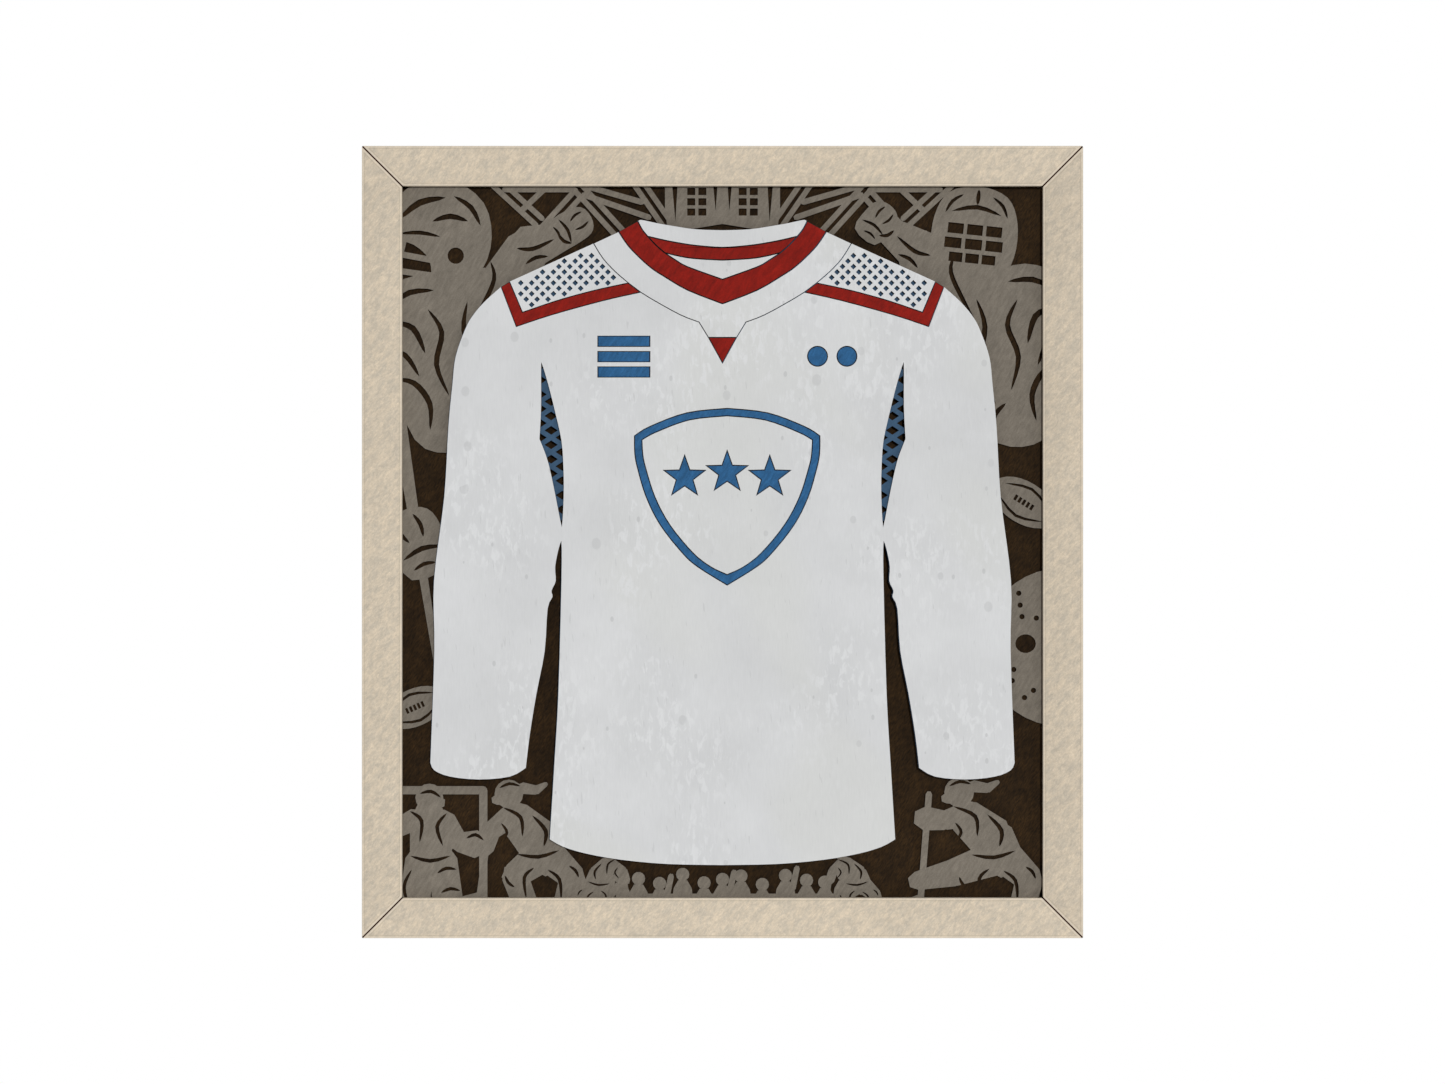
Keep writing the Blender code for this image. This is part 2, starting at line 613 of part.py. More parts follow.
def player(lean, reach=0.0):
    """A faceless player bent over a stick, about 58 mm tall, looking towards -x.

    reach, from 0 to 1, stretches the stick arm and the front leg forwards.
    """
    hand = (-22 - 7 * reach, -4 + 15 * reach)
    knee = (-7 - 8 * reach, -18 + 2 * reach, 6.8)
    foot = (-1 - 32 * reach, -34 + 14 * reach, 6.4 - 1.8 * reach)
    shapes = [disc(-8 - lean, 24, 7.4), capsule((-14.5 - lean, 21, 2.6), (-6 - lean, 22, 4.0))]
    shapes += limb((-1 - lean, 27, 3.0), (6 - lean, 26, 2.4), (11 - lean, 29, 1.2))
    shapes += limb((-5 - lean, 12, 9.0), (4, 1, 11.5), (9, -8, 10.5))
    shapes += limb((-8 - lean, 12, 5.8), (-19, 5 + 5 * reach, 4.8), (*hand, 4.4 + 1.6 * reach))
    shapes += limb((5, -9, 8.6), knee, foot)
    shapes += limb((12, -9, 8.6), (23, -19, 6.8), (19, -34, 6.4))
    shapes += limb((hand[0] + 2, hand[1] + 12, 1.6), (-25 - 6 * reach, -28, 1.6),
                   (-34 - 3 * reach, -31, 2.2))
    cuts = [stroke([(-11 - lean, 17), (-4, 12), (-3, 2)], 2.0),
            stroke([(-14, 9), (-11, 4), (-15, -2)], 1.6), stroke([(2, 13), (9, 5), (8, -3)], 2.2),
            slit((-6, -7), (16, -5), -2.4, 2.0), stroke([(3, -14), (-2, -19), (-1, -30)], 1.8),
            stroke([(10, -15), (16, -20), (17, -31)], 1.8), slit((-12, -18), (-7, -24), -1.0, 1.6),
            slit((-13 - lean, 27), (-2 - lean, 28), 1.8, 1.6), slit((21, -13), (26, -19), 1.0, 1.6)]
    return shapes, cuts


def goal():
    """A goal's tubular post and crossbar, 52 mm wide."""
    return limb((-30, 60, 2.3), (22, 60, 2.3), (22, -4, 2.3)), []


def keeper():
    """A faceless goalkeeper with leg pads and a big glove, about 60 mm tall."""
    shapes = [disc(0, 24, 7.2), capsule((5, 21.5, 3.4), (0, 22, 4.5))]
    shapes += limb((0, 13, 10.0), (1, -3, 11.0))
    shapes += limb((-7, 13, 5.6), (-17, 8, 4.8)) + limb((8, 12, 5.8), (15, 1, 5.0), (24, 0, 7.2))
    shapes += limb((-5, -8, 7.4), (-8, -34, 8.0)) + limb((7, -8, 7.4), (10, -34, 8.0))
    cuts = [stroke([(-10, 17), (-4, 12), (-5, 1)], 2.0), stroke([(9, 16), (4, 9), (7, -1)], 2.0),
            slit((-10, -6), (11, -6), -2.6, 2.0), slit((-5, 26), (6, 24), 2.2, 1.8),
            stroke([(-9, -13), (-13, -22), (-10, -34)], 1.8), slit((4, -15), (14, -13), 1.6, 1.8),
            slit((6, -25), (16, -24), 1.6, 1.8), slit((19, 3), (28, 2), 2.4, 1.8),
            slit((-19, 11), (-14, 5), 1.4, 1.6)]
    return shapes, cuts


def crowd():
    """A packed row of round heads and shoulders along the lower edge, a few arms raised."""
    shapes = [box(-74, -203, 74, -195.5)]
    for i in range(-6, 7):
        x = 11.4 * i + 1.2 * math.sin(5 * i)
        top = -187.6 + 2.8 * math.sin(2.4 * i)
        shapes.append(disc(x, top, 3.7, steps=14))
        shapes.append(capsule((x, top - 7.6, 5.0), (x, -203, 6.4)))
        if i % 3 == 0:
            shapes.append(capsule((x + 4.0, top - 7, 1.8), (x + 6.4, top + 4, 1.6)))
    return shapes, []


def twin_bar(a, b, spread=2.5, radius=1.5):
    """Two parallel round-ended bars on either side of the line from a to b."""
    across = Vector((b[1] - a[1], a[0] - b[0])).normalized() * spread
    return [capsule((a[0] + k * across.x, a[1] + k * across.y, radius),
                    (b[0] + k * across.x, b[1] + k * across.y, radius)) for k in (-1, 1)]


def roof():
    """A hanging scoreboard with plain windows between twin-barred roof trusses."""
    shapes = [[(-32, 201), (-32, 184), (-29, 164), (29, 164), (32, 184), (32, 201)]]
    cuts = [[(-21, 173.4), (0, 176.8), (21, 173.4), (0, 170)]]
    for side in (-1, 1):
        for top, foot in (((47, 200), (29, 174)), ((83, 200), (53, 167)),
                          ((126, 200), (102, 178)), ((80, 194), (100, 172))):
            shapes += twin_bar((side * top[0], top[1]), (side * foot[0], foot[1]))
        for high, low in (((80, 199), (45, 189)), ((77, 193), (41, 180.5)),
                          ((121, 196), (84, 196)), ((95, 200), (112, 184))):
            shapes.append(capsule((side * high[0], high[1], 1.6), (side * low[0], low[1], 1.6)))
        cuts.append([(side * 25, 198.6), (side * 28, 198.6), (side * 26.2, 178)])
        cuts.append([(side * 2.8, 198.6), (side * 5.2, 198.6), (side * 3.8, 184)])
        for near in (9.0, 15.2):
            for low in (181.5, 187.2, 192.9):
                cuts.append(box(side * near, low, side * (near + 4.4), low + 3.9))
    return shapes, cuts


def fretwork_motifs():
    """Every motif with its place: x, z, scale, turn in degrees, flipped."""
    return [
        (helmet_side(), (-160, 168, 1.42, -8, False)),
        (shoulders(), (-150, 124, 1.12, 5, False)),
        (arm(), (-121, 145, 1, -8, False)),
        (glove(), (-84, 175, 0.95, -58, False)),
        (helmet_front(), (140, 170, 1.16, -6, False)),
        (shoulders(), (151, 127, 1.14, -5, True)),
        (arm(), (117, 140, 1, 8, True)),
        (glove(), (86, 178, 0.9, 40, True)),
        (sleeve_fold(), (-150, 124, 1, 0, False)),
        (sleeve_fold(), (150, 128, 1, 0, True)),
        (roof(), (0, 0, 1, 0, False)),
        (bat(), (-170, 4, 1, 9, False)),
        (glove(), (-169, 0, 1.5, 24, False)),
        (laced_ball(18), (-171, -92, 1, 24, False)),
        (laced_ball(20), (167.5, 22, 1, -32, False)),
        (vented_guard(), (188.5, -58.5, 1, 0, False)),
        (goal(), (-155, -198, 1, 0, False)),
        (keeper(), (-163, -168, 1.08, 0, False)),
        (player(2), (-108, -166, 1.08, 0, False)),
        (player(0), (-66, -186, 0.56, 0, True)),
        (player(3), (72, -186, 0.56, 0, False)),
        (crowd(), (0, 0, 1, 0, False)),
        (player(4, 1.0), (145, -166, 1.12, 0, False)),
    ]


def flat_region(joined, pierced, outer, window):
    """A flat sheet inside outer: the border round the window, plus joined, less pierced."""
    loops = [outer, window, *joined, *pierced]
    points, faces = [], []
    for loop in loops:
        run = loop if area(loop) > 0 else loop[::-1]
        faces.append(list(range(len(points), len(points) + len(run))))
        points += [Vector(point) for point in run]
    points, _, triangles, _, _, sources = delaunay_2d_cdt(points, [], faces, 1, 1e-4)
    first_hole = 2 + len(joined)
    kept = [t for t, s in zip(triangles, sources)
            if 0 in s and (1 not in s or any(2 <= k < first_hole for k in s))
            and not any(k >= first_hole for k in s)]
    bm = bmesh.new()
    verts = [bm.verts.new((x * MM, z * MM, 0)) for x, z in points]
    for triangle in kept:
        bm.faces.new([verts[k] for k in triangle])
    bmesh.ops.delete(bm, geom=[v for v in bm.verts if not v.link_faces], context='VERTS')
    bmesh.ops.dissolve_limit(bm, angle_limit=math.radians(1), verts=bm.verts, edges=bm.edges)
    return bm


def build_fretwork():
    """The pierced panel: a hidden border and middle, joined by the motifs."""
    joined, pierced = [backing()], []
    for (shapes, cuts), spot in fretwork_motifs():
        joined += [moved(loop, *spot) for loop in shapes]
        pierced += [moved(loop, *spot) for loop in cuts]
    mesh = bpy.data.meshes.new("fretwork_panel")
    bm = flat_region(joined, pierced, window_box(RABBET - EDGE_PLAY), window_box(BORDER_HIDE))
    bm.to_mesh(mesh)
    bm.free()
    panel = place(bpy.data.objects.new("fretwork_panel", mesh), PARTS, GREY)
    panel.rotation_euler.x = math.pi / 2
    panel.location.y = FRETWORK_FRONT * MM
    sheet = panel.modifiers.new("sheet", 'SOLIDIFY')
    sheet.thickness = LAYER * MM
    sheet.offset = -1


# ---------------------------------------------------------------- frame and back hardware

def rail_loops():
    """Each rail's face as a trapezoid, with half a gap at each mitre."""
    w, h = HALF_WIDTH, HALF_HEIGHT
    g = GAP / 2 * math.sqrt(2)
    top = [(-w + g, h), (w - g, h), (WINDOW_X - g, WINDOW_Z), (-WINDOW_X + g, WINDOW_Z)]
    right = [(w, h - g), (w, -h + g), (WINDOW_X, -WINDOW_Z + g), (WINDOW_X, WINDOW_Z - g)]
    return {"rail_top": top, "rail_bottom": [(x, -z) for x, z in top],
            "rail_left": [(-x, z) for x, z in right], "rail_right": right}


def button_places():
    """Name, pivot x, pivot z and turn in degrees of each turn button, reaching inwards."""
    x = HALF_WIDTH - RAIL_BACK_MIDDLE
    z = HALF_HEIGHT - RAIL_BACK_MIDDLE
    upper, lower = BUTTON_HEIGHTS
    return [("rail_left", -x, upper, 0), ("rail_left", -x, lower, 0), ("rail_bottom", 0, -z, 90),
            ("rail_right", x, lower, 180), ("rail_right", x, upper, 180), ("rail_top", 0, z, 270)]


def hanger_places():
    x = HALF_WIDTH - RAIL_BACK_MIDDLE - HANGER_INSET
    return [("left", "rail_left", -x), ("right", "rail_right", x)]


def corner_places():
    """Middle of each mitre on the back, and the turn of a wedge that points outwards."""
    x = HALF_WIDTH - RAIL_BACK_MIDDLE
    z = HALF_HEIGHT - RAIL_BACK_MIDDLE
    return [(-x, z, 135), (x, z, 45), (x, -z, -45), (-x, -z, -135)]


def wedge_loop(x, z, turn, thickness):
    """A chevron lying across a mitre, its point along the turn."""
    point, leg = WEDGE_POINT, WEDGE_LEG
    t = thickness / 2 * math.sqrt(2)
    upper = [(point + t, 0), (point - leg + t / 2, leg + t / 2)]
    inner = [(point - leg - t / 2, leg - t / 2), (point - t, 0), (point - leg - t / 2, t / 2 - leg)]
    chevron = upper + inner + [(point - leg + t / 2, -leg - t / 2)]
    return moved(chevron, x, z, turn=turn)


def cut_pilots(rails):
    """Pilot holes for the screws of the turn buttons and hangers."""
    pilots = [(rail, x, z) for rail, x, z, turn in button_places()]
    pilots += [(rail, x, HANG_HEIGHT - STRAP_SCREW_DROP) for side, rail, x in hanger_places()]
    for rail, x, z in pilots:
        cut(rails[rail], cylinder("pilot_cutter", SHANK_RADIUS + GAP, RAIL_BACK - PILOT_DEPTH,
                                  RAIL_BACK + 2, x, z))


def build_wedges(rails):
    """A steel V-nail across the back of each mitre, standing in a slot in both rails."""
    for i, (x, z, turn) in enumerate(corner_places(), 1):
        opening = wedge_loop(x, z, turn, WEDGE_THICKNESS + 2 * GAP)
        slot, = solids([plate("wedge_cutter", [opening], RAIL_BACK - WEDGE_DEPTH - GAP,
                              WEDGE_DEPTH + 2, None, CUTTERS)])
        cut(rails["rail_top" if z > 0 else "rail_bottom"], slot)
        cut(rails["rail_right" if x > 0 else "rail_left"], slot)
        plate(f"corner_wedge_{i}", [wedge_loop(x, z, turn, WEDGE_THICKNESS)],
              RAIL_BACK - WEDGE_DEPTH, WEDGE_DEPTH - 0.1, STEEL)


def build_frame():
    """The four rails, with their rabbet, pilot holes and V-nails, and the back panel."""
    rails = solids([plate(name, [loop], RAIL_FRONT, RAIL_DEPTH, CREAM)
                    for name, loop in rail_loops().items()])
    rabbet, = solids([plate("rabbet_cutter", [window_box(RABBET)], LIP_BACK,
                            RAIL_BACK - LIP_BACK + 2, None, CUTTERS)])
    for rail in rails:
        cut(rail, rabbet)
    by_name = {rail.name: rail for rail in rails}
    cut_pilots(by_name)
    build_wedges(by_name)
    plate("back_panel", [window_box(RABBET - EDGE_PLAY)], PANEL_FRONT, LAYER, BROWN)


def screw(name, head_base, x, z):
    """A pan head screw with its shank towards the front; head_base is the head's underside."""
    tip = RAIL_BACK - PILOT_DEPTH + TIP_CLEARANCE - head_base
    profile = [(0.0, HEAD_HEIGHT), (HEAD_RADIUS * 0.55, HEAD_HEIGHT),
               (HEAD_RADIUS * 0.9, HEAD_HEIGHT * 0.65), (HEAD_RADIUS, 0.0), (SHANK_RADIUS, 0.0),
               (SHANK_RADIUS, tip + 2.0), (0.0, tip)]
    obj = turned(name, profile, STEEL, 16)
    obj.location = (x * MM, head_base * MM, z * MM)


def button_loops():
    """A turn button along +x from its pivot, and its screw hole."""
    r = BUTTON_WIDTH / 2
    body = capsule((-BUTTON_TAIL + r, 0, r), (BUTTON_REACH - r, 0, r), steps=8)
    return [body, disc(0, 0, SHANK_RADIUS + GAP, steps=16)]


def build_buttons():
    """The turn buttons, each with its origin on its pivot, and their screws."""
    front = RAIL_BACK + GAP
    for i, (rail, x, z, turn) in enumerate(button_places(), 1):
        button = plate(f"turn_button_{i}", button_loops(), front, BUTTON_THICKNESS, STEEL)
        button.location.x = x * MM
        button.location.z = z * MM
        button.rotation_euler.y = -math.radians(turn)
        screw(f"button_screw_{i}", front + BUTTON_THICKNESS + GAP, x, z)


def strap_loops():
    """Side view of a hanger strap: x here is depth from the rail, z up from the ring's axis."""
    outer = RING_WIRE / 2 + GAP + STRAP_THICKNESS
    close = math.acos((STRAP_THICKNESS - outer) / outer)
    outline = [(STRAP_THICKNESS, -STRAP_LENGTH), (0, -STRAP_LENGTH)]
    steps = 18
    for i in range(steps + 1):
        angle = math.pi - (math.pi + close) * i / steps
        outline.append((outer + outer * math.cos(angle), outer * math.sin(angle)))
    return [outline, disc(outer, 0, RING_WIRE / 2 + GAP, steps=14)]


def build_hangers():
    """Two folded straps with their D-rings, hanging down, and their screws."""
    front = RAIL_BACK + GAP
    axis_depth = front + RING_WIRE / 2 + GAP + STRAP_THICKNESS
    for side, rail, x in hanger_places():
        strap = plate("hanger_strap_" + side, strap_loops(), 0, STRAP_WIDTH, STEEL)
        strap.rotation_euler = (math.pi / 2, 0, math.pi / 2)
        strap.location = (x * MM, front * MM, HANG_HEIGHT * MM)
        strap, = solids([strap])
        hole = cylinder("strap_cutter", SHANK_RADIUS + GAP, front - 2, front + 4, x,
                        HANG_HEIGHT - STRAP_SCREW_DROP)
        cut(strap, hole)
        screw("hanger_screw_" + side, front + STRAP_THICKNESS + GAP, x,
              HANG_HEIGHT - STRAP_SCREW_DROP)
        ring = wire_ring("hanger_ring_" + side)
        ring.location = (x * MM, axis_depth * MM, HANG_HEIGHT * MM)


def wire_ring(name):
    """A D-ring in the X-Z plane, its straight bar on the local X axis."""
    r, bend = RING_HALF_WIDTH, RING_BEND
    arms = RING_DROP - r
    points = [(x, 0.0) for x in (-r + bend, -r / 3, r / 3, r - bend)]
    corner = [(r - bend * (1 - math.sin(a)), -bend * (1 - math.cos(a)))
              for a in (math.pi / 6, math.pi / 3, math.pi / 2)]
    bow = [(r * math.cos(a), -arms - r * math.sin(a))
           for a in (math.pi * i / 10 for i in range(11))]
    loop = points + corner + bow + [(-x, z) for x, z in reversed(corner)]
    data = bpy.data.curves.new(name, 'CURVE')
    data.dimensions = '3D'
    data.bevel_depth = RING_WIRE / 2 * MM
    data.bevel_resolution = 2
    spline = data.splines.new('POLY')
    spline.points.add(len(loop) - 1)
    for point, (x, z) in zip(spline.points, loop):
        point.co = (x * MM, 0, z * MM, 1)
    spline.use_cyclic_u = True
    return place(bpy.data.objects.new(name, data), PARTS, STEEL)


def build_pads():
    """Round rubber pads near the corners, with a flat back face on the wall."""
    height = WALL_GAP - GAP
    profile = [(0.0, height), (PAD_RADIUS - PAD_CHAMFER, height),
               (PAD_RADIUS, height - PAD_CHAMFER), (PAD_RADIUS, 0.0), (0.0, 0.0)]
    x = HALF_WIDTH - RAIL_BACK_MIDDLE
    for i, (sx, sz) in enumerate(((-1, 1), (1, 1), (1, -1), (-1, -1)), 1):
        pad = turned(f"bumper_{i}", profile, RUBBER, 24)
        pad.location = (sx * x * MM, (RAIL_BACK + GAP) * MM, sz * PAD_HEIGHT * MM)


# ---------------------------------------------------------------- build

for old in list(bpy.data.objects):
    bpy.data.objects.remove(old)

PARTS = bpy.data.collections.new("jersey_display_frame")
CUTTERS = bpy.data.collections.new("cutters")
bpy.context.scene.collection.children.link(PARTS)
bpy.context.scene.collection.children.link(CUTTERS)

MIDDLE = bpy.data.objects.new("frame_middle", None)
PARTS.objects.link(MIDDLE)
MIDDLE.location.z = -HANG_HEIGHT * MM

CREAM = material("cream_paint", (202, 190, 171), 0.62)
WHITE = material("white_paint", (209, 210, 211), 0.6)
RED = material("red_paint", (132, 32, 27), 0.55)
BLUE = material("blue_paint", (48, 91, 132), 0.55)
GREY = material("grey_stain", (122, 115, 107), 0.7)
BROWN = material("brown_stain", (44, 34, 22), 0.75)
STEEL = material("zinc_plated_steel", (178, 176, 170), 0.35, 1.0)
RUBBER = material("black_rubber", (30, 30, 31), 0.85)

build_frame()
build_fretwork()
build_jersey()
build_buttons()
build_hangers()
build_pads()
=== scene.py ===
"""Looks for the jersey display frame: materials, arrises, fine hardware, light and camera.

Objects are placed in metres in the frame's own axes. The driving values and the patterns are in
millimetres, unless they say otherwise.
"""
import json
import math

import bmesh
import bpy
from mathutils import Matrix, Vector


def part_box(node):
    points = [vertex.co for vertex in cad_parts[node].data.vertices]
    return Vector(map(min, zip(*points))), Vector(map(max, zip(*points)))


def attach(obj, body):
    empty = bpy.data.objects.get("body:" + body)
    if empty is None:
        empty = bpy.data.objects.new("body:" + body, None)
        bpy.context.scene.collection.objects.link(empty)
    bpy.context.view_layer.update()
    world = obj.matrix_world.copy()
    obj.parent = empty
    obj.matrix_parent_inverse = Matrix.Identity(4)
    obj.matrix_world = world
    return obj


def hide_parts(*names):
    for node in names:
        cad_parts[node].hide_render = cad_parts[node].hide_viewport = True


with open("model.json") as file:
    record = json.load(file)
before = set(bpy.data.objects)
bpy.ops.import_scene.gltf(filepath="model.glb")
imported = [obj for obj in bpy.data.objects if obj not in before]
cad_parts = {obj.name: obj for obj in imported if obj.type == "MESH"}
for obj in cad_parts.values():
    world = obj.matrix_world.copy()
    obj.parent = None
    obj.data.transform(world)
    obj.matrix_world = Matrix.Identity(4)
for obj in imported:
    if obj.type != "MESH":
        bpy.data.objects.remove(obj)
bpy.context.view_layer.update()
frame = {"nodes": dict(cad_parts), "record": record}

MM = 0.001
DIAGONAL = math.sqrt(0.5)
NODES = frame["nodes"]


def linear(channel):
    """An sRGB channel from 0 to 255 as a linear value."""
    c = channel / 255
    return c / 12.92 if c <= 0.04045 else ((c + 0.055) / 1.055) ** 2.4


def colour(*channels):
    """A linear RGBA colour from sRGB channels of 0 to 255."""
    return [linear(c) for c in channels] + [1.0]


def tinted(base, red, green, blue):
    """A colour with its channels multiplied."""
    return [base[0] * red, base[1] * green, base[2] * blue, 1.0]


# ---------------------------------------------------------------- driving values

# the frame's own lines: heights in metres, the rest in millimetres
TOP_Z, BOTTOM_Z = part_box("rail_top")[1].z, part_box("rail_bottom")[0].z
HALF_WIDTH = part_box("rail_right")[1].x / MM
HALF_HEIGHT = (TOP_Z - BOTTOM_Z) / 2 / MM
MIDDLE_Z = (TOP_Z + BOTTOM_Z) / 2 / MM
RAIL_WIDTH = (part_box("rail_left")[1].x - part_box("rail_left")[0].x) / MM

# painted and stained faces
CREAM_SHADE, CREAM_LIGHT = colour(187, 177, 161), colour(210, 195, 173)
# painted highlight along the rails' arrises, and a darker painted shade line like a groove just
# inside it
CREAM_PAINTED_HIGHLIGHT, CREAM_GROOVE_SHADE = colour(220, 208, 190), colour(164, 151, 130)
WHITE = colour(203, 204, 205)
RED = colour(126, 24, 16)
BLUE = colour(44, 90, 132)
# painted shade: a duller, greyer copy of BLUE for the jersey_backer, which sits deeper
BLUE_PAINTED_SHADE = colour(62, 88, 114)
GREY = colour(117, 110, 100)
BROWN = colour(43, 29, 12)

# bare wood, burnt wood and glue
PINE_DARK, PINE_LIGHT = colour(196, 158, 110), colour(222, 190, 146)
BIRCH_LIGHT, BIRCH_DARK = colour(219, 193, 154), colour(204, 174, 133)
CHAR_DARK, CHAR_LIGHT, CHAR_PLY = colour(26, 17, 11), colour(74, 47, 27), colour(104, 74, 46)
HALO_DARK, HALO_LIGHT = colour(24, 19, 20), colour(58, 46, 42)
SEAM_FRONT, SEAM_BACK = colour(58, 32, 22), colour(88, 60, 38)
GLUE_DARK, GLUE_LIGHT = colour(44, 22, 15), colour(78, 45, 32)

# hardware and stage
ZINC_COOL, ZINC_WARM = colour(176, 180, 184), colour(204, 200, 186)
RUBBER_DARK, RUBBER_LIGHT = colour(24, 24, 25), colour(46, 45, 44)
FLOOR_PALE = colour(236, 236, 235)

BRUSH_LEAN = -32.0       # degrees that the brush marks lean from upright
SMOOTH_ANGLE = 32.0      # degrees: flatter edges are shaded smooth
ARRIS_ANGLE = 40.0       # degrees: sharper edges are rounded
FLAT_ANGLE = 0.2         # degrees between triangles that count as one flat face
WELD_REACH = 2e-6        # metres
LATHE_WELD = 1e-6        # metres
LATHE_STEPS = 40

# screws, wire and glue, in millimetres
HEAD_HEIGHT, HEAD_RADIUS = 1.8, 3.4
HEAD_RIM = 0.12          # chamfer under the head
SHANK_RADIUS, SHANK_LENGTH, SCREW_LENGTH = 1.5, 5.0, 6.5
RECESS_DEPTH = 1.1
OVERCUT = 0.2            # how far a cutter stands out of what it cuts
RECESS_TOP, RECESS_FOOT = (1.75, 0.36), (0.7, 0.22)   # half length and half width of a blade
FIRST_TURN, TURN_STEP = 0.5, 1.1                      # radians: no two recesses line up
RING_BEND = 2.2          # radius at the corners of the D
RING_BUTT = 0.06         # half the gap where the ends of the wire meet
GLUE_THICKNESS = 0.28
GLUE_INSET = 0.25        # from either end of the mitre
GLUE_DIP = 0.16          # below the face of the rails
GLUE_CROWN = 0.08        # how far its middle stands above its sides
GLUE_BACK = 0.6          # in front of the back of the jersey_backer
GLUE_STEPS = 36

FLOOR_SIZE = 2.7         # metres from the middle of the floor to its edge
FLOOR_DROP = 0.42        # metres from the frame down to the floor
LENS, SENSOR = 120.0, 36.0
VIEW_WIDTH = 0.8013      # metres across the picture at the face of the rails
AMBIENT = 0.30
LIGHTS = [               # name, direction of the light, strength, angular size in degrees
    ("key", (-0.115, 1.0, -0.115), 1.72, 1.5),
    ("side", (-0.8, 0.45, -0.8), 0.75, 60.0),
    ("rear_fill", (0.5, -1.0, -0.6), 1.9, 12.0),
]


# ---------------------------------------------------------------- material graphs

class Graph:
    """A Principled material whose patterns are drawn in millimetres on the object."""

    def __init__(self, name, roughness=0.8, metallic=0.0, specular=0.12):
        self.material = bpy.data.materials.new(name)
        self.material.use_nodes = True
        self.tree = self.material.node_tree
        self.shader = self.tree.nodes["Principled BSDF"]
        self.shader.inputs["Roughness"].default_value = roughness
        self.shader.inputs["Metallic"].default_value = metallic
        self.shader.inputs["Specular IOR Level"].default_value = specular
        position = self.add("ShaderNodeTexCoord").outputs["Object"]
        scale = self.add("ShaderNodeVectorMath", operation='SCALE')
        scale.inputs["Scale"].default_value = 1 / MM
        self.tree.links.new(position, scale.inputs[0])
        self.mm = scale.outputs[0]
        split = self.add("ShaderNodeSeparateXYZ")
        self.tree.links.new(self.mm, split.inputs[0])
        self.x, self.y, self.z = split.outputs

    def add(self, kind, **settings):
        """A new node with the given properties."""
        node = self.tree.nodes.new(kind)
        for key, value in settings.items():
            setattr(node, key, value)
        return node

    def plug(self, socket, value):
        """Link a socket, or set it to a constant."""
        if isinstance(value, bpy.types.NodeSocket):
            self.tree.links.new(value, socket)
        elif socket.type == 'VECTOR':
            socket.default_value = value[:3]
        else:
            socket.default_value = value

    def math(self, operation, a, b=0.0, c=0.0):
        """Arithmetic on sockets and constants."""
        node = self.add("ShaderNodeMath", operation=operation)
        for socket, value in zip(node.inputs, (a, b, c)):
            self.plug(socket, value)
        return node.outputs[0]

    def stretched(self, sx=1.0, sy=1.0, sz=1.0, turn=0.0):
        """The place in millimetres, scaled by axis after a turn about Y in degrees."""
        node = self.add("ShaderNodeMapping", vector_type='POINT')
        node.inputs["Rotation"].default_value = (0.0, math.radians(turn), 0.0)
        self.plug(node.inputs["Vector"], self.mm)
        scale = self.add("ShaderNodeVectorMath", operation='MULTIPLY')
        self.plug(scale.inputs[0], node.outputs[0])
        scale.inputs[1].default_value = (sx, sy, sz)
        return scale.outputs[0]

    def noise(self, scale, detail=2.0, roughness=0.5, vector=None, distortion=0.0):
        """Noise about 0.5; scale is in cycles a millimetre."""
        node = self.add("ShaderNodeTexNoise")
        node.inputs["Scale"].default_value = scale
        node.inputs["Detail"].default_value = detail
        node.inputs["Roughness"].default_value = roughness
        node.inputs["Distortion"].default_value = distortion
        self.plug(node.inputs["Vector"], vector or self.mm)
        return node.outputs["Fac"]

    def band(self, value, low, high, to_low=0.0, to_high=1.0):
        """A smooth step of value from low to high."""
        node = self.add("ShaderNodeMapRange", interpolation_type='SMOOTHSTEP')
        for socket, number in zip(node.inputs, (value, low, high, to_low, to_high)):
            self.plug(socket, number)
        return node.outputs[0]

    def mix(self, factor, a, b):
        """Colour a where factor is 0, b where it is 1."""
        node = self.add("ShaderNodeMix", data_type='RGBA')
        self.plug(node.inputs["Factor"], factor)
        self.plug(node.inputs["A"], a)
        self.plug(node.inputs["B"], b)
        return node.outputs["Result"]

    def tone(self, base, value, depth):
        """Base made lighter or darker by depth as value leaves 0.5."""
        gain = self.math('MULTIPLY_ADD', self.math('SUBTRACT', value, 0.5), depth, 1.0)
        node = self.add("ShaderNodeVectorMath", operation='SCALE')
        self.plug(node.inputs[0], base)
        self.plug(node.inputs["Scale"], gain)
        return node.outputs[0]

    def spots(self, cell, radius, share, stretch=0.8):
        """Sparse soft-edged ovals on the face: cell and radius in mm, share from 0 to 1."""
        flat = self.add("ShaderNodeCombineXYZ")
        self.plug(flat.inputs[0], self.x)
        self.plug(flat.inputs[1], self.math('MULTIPLY', self.z, stretch))
        cells = self.add("ShaderNodeTexVoronoi", voronoi_dimensions='2D')
        cells.inputs["Scale"].default_value = 1 / cell
        self.plug(cells.inputs["Vector"], flat.outputs[0])
        pick = self.add("ShaderNodeSeparateColor")
        self.tree.links.new(cells.outputs["Color"], pick.inputs[0])
        size = radius / cell
        reach = self.math('MULTIPLY_ADD', pick.outputs[1], 0.7 * size, 0.5 * size)
        near = self.math('DIVIDE', cells.outputs["Distance"], reach)
        chosen = self.band(pick.outputs[0], share, share + 0.01, 1, 0)
        return self.math('MULTIPLY', self.band(near, 0.75, 1.05, 1, 0), chosen)

    def facing(self):
        """The y part of the surface normal: -1 on a front face, 1 on a back face."""
        split = self.add("ShaderNodeSeparateXYZ")
        surface = self.add("ShaderNodeNewGeometry")
        self.tree.links.new(surface.outputs["Normal"], split.inputs[0])
        return split.outputs["Y"]

